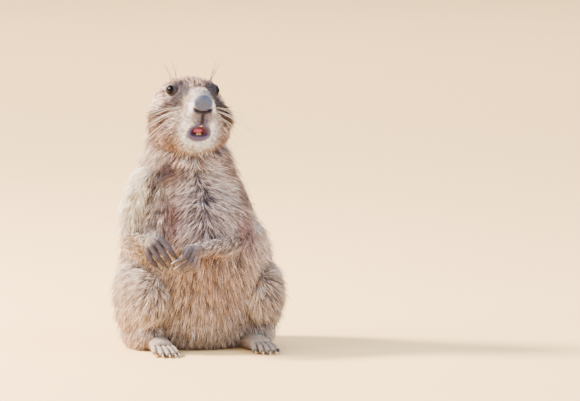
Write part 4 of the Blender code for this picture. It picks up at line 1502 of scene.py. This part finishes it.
def whisker(bm, start, end, droop, sizes):
    _, at, _ = skin_tree.find(start)
    foot = Vector(points[at]) - Vector(ways[at]) * 0.4
    lifted = foot.lerp(end, 0.35) + Vector((0, 0, droop * 0.7)) + Vector(ways[at]) * 1.5
    bowed = foot.lerp(end, 0.7) + Vector((0, 0, droop))
    limb(bm, [foot, lifted, bowed, end], sizes, up=(0.1, 0.2, 1), rings=9, around=5, bluntness=30.0)


def whisker_rows(bm, rows, droop, scatter, sizes):
    for start, end, count_in_row in rows:
        for sign in SIDES.values():
            for n in range(count_in_row):
                share = n / (count_in_row - 1)
                shift = Vector(draw.uniform(-1.0, 1.0, 3)) * scatter
                aside, ahead, high = (at + step * share for at, step in zip(start, ROW_STEPS))
                reach = 1.0 - 0.35 * share * draw.random()
                fall = (end[2] - start[2]) * reach
                stop = on_head(sign * end[0] * reach, end[1] * reach, start[2] + fall)
                whisker(bm, on_head(sign * aside, ahead, high), stop + shift, droop, sizes)


bm = clay_along()
whisker_rows(bm, PAD_ROWS, 1.4, 4.0, WHISKER_SIZES)
small_piece("whiskers", bm, whisker_finish, "whisker")
bm = clay_along()
whisker_rows(bm, BROW_ROWS, 0.5, 2.0, BROW_SIZES)
small_piece("brow_whiskers", bm, brow_finish, "whisker")
print("whiskers are in place")

# %% [markdown]
# ## Floor, light and camera
# A plain pale floor runs back into a pale room, so that nothing competes with the fur. A low warm sun
# behind the animal's right shoulder rims the coat, a cooler lamp beside it spreads over the right flank,
# and the room and a blue fill from the left keep the shaded side soft and cool. A faint glow from low in
# front stands for what a floor throws back, and a warm lamp lights the floor far behind. The camera
# stands far off with a long lens, a little above the floor, as shy animals are watched.

# %% Floor and light
bm = bmesh.new()
bmesh.ops.create_grid(bm, x_segments=4, y_segments=4, size=8.0)
floor = object_of("floor", mesh_of("floor", bm))
floor_finish = finish("floor", 0.85, (252, 208, 146), 3.0, 0.05, Specular_IOR_Level=0.15)
floor.data.materials.append(floor_finish)

world = bpy.data.worlds.new("room")
bpy.context.scene.world = world
world.use_nodes = True
room = world.node_tree.nodes["Background"]
room.inputs["Color"].default_value = (0.91, 0.965, 1.09, 1.0)
room.inputs["Strength"].default_value = 1.42


def area_light(name, place, aim, size, power, colour):
    light = bpy.data.objects.new(name, bpy.data.lights.new(name, "AREA"))
    bpy.context.scene.collection.objects.link(light)
    light.data.shape = "DISK"
    light.data.size = size
    light.data.energy = power
    light.data.color = colour
    light.location = place
    light.rotation_euler = (Vector(aim) - Vector(place)).to_track_quat("-Z", "Y").to_euler()


area_light("low_sun", (-1.6, 0.5, 1.35), (0.0, 0.0, 0.12), 0.5, 290.0, (1.0, 0.91, 0.79))
area_light("backdrop_glow", (0.0, 4.2, 2.4), (0.0, 4.2, 0.0), 5.0, 270.0, (1.0, 0.87, 0.62))
area_light("sky", (-1.85, -0.5, 1.35), (0.0, 0.0, 0.12), 0.8, 36.0, (0.86, 0.93, 1.0))
area_light("blue_fill", (1.5, -1.2, 0.8), (0.0, 0.0, 0.12), 1.4, 46.0, (0.42, 0.68, 1.0))
area_light("floor_glow", (-0.3, -1.6, 0.12), (0.0, -0.05, 0.17), 0.8, 10.0, (0.97, 0.95, 0.93))

# %% Camera
MM_PER_PIXEL = 0.79
PICTURE_WIDTH = 580
PICTURE_MIDDLE = (290.0, 200.5)
ORIGIN_AT = (184.1, 345.0)  # the picture's pixel that shows the model's origin
AZIMUTH, ELEVATION, DISTANCE = -15.0, 5.0, 3.8
turn, tip = math.radians(AZIMUTH), math.radians(ELEVATION)
right = Vector((math.cos(turn), math.sin(turn), 0.0))
back = Vector((math.sin(turn) * math.cos(tip), -math.cos(turn) * math.cos(tip), math.sin(tip)))
above = back.cross(right)
aim = right * ((PICTURE_MIDDLE[0] - ORIGIN_AT[0]) * MM_PER_PIXEL * MM)
aim += above * ((ORIGIN_AT[1] - PICTURE_MIDDLE[1]) * MM_PER_PIXEL * MM)
camera = bpy.data.objects.new("camera", bpy.data.cameras.new("camera"))
bpy.context.scene.collection.objects.link(camera)
camera.location = aim + back * DISTANCE
camera.rotation_euler = (-back).to_track_quat("-Z", "Y").to_euler()
camera.data.sensor_width = 36.0
camera.data.lens = camera.data.sensor_width * DISTANCE / (PICTURE_WIDTH * MM_PER_PIXEL * MM)
bpy.context.scene.camera = camera
print("lens of", round(camera.data.lens), "mm at", DISTANCE, "m")
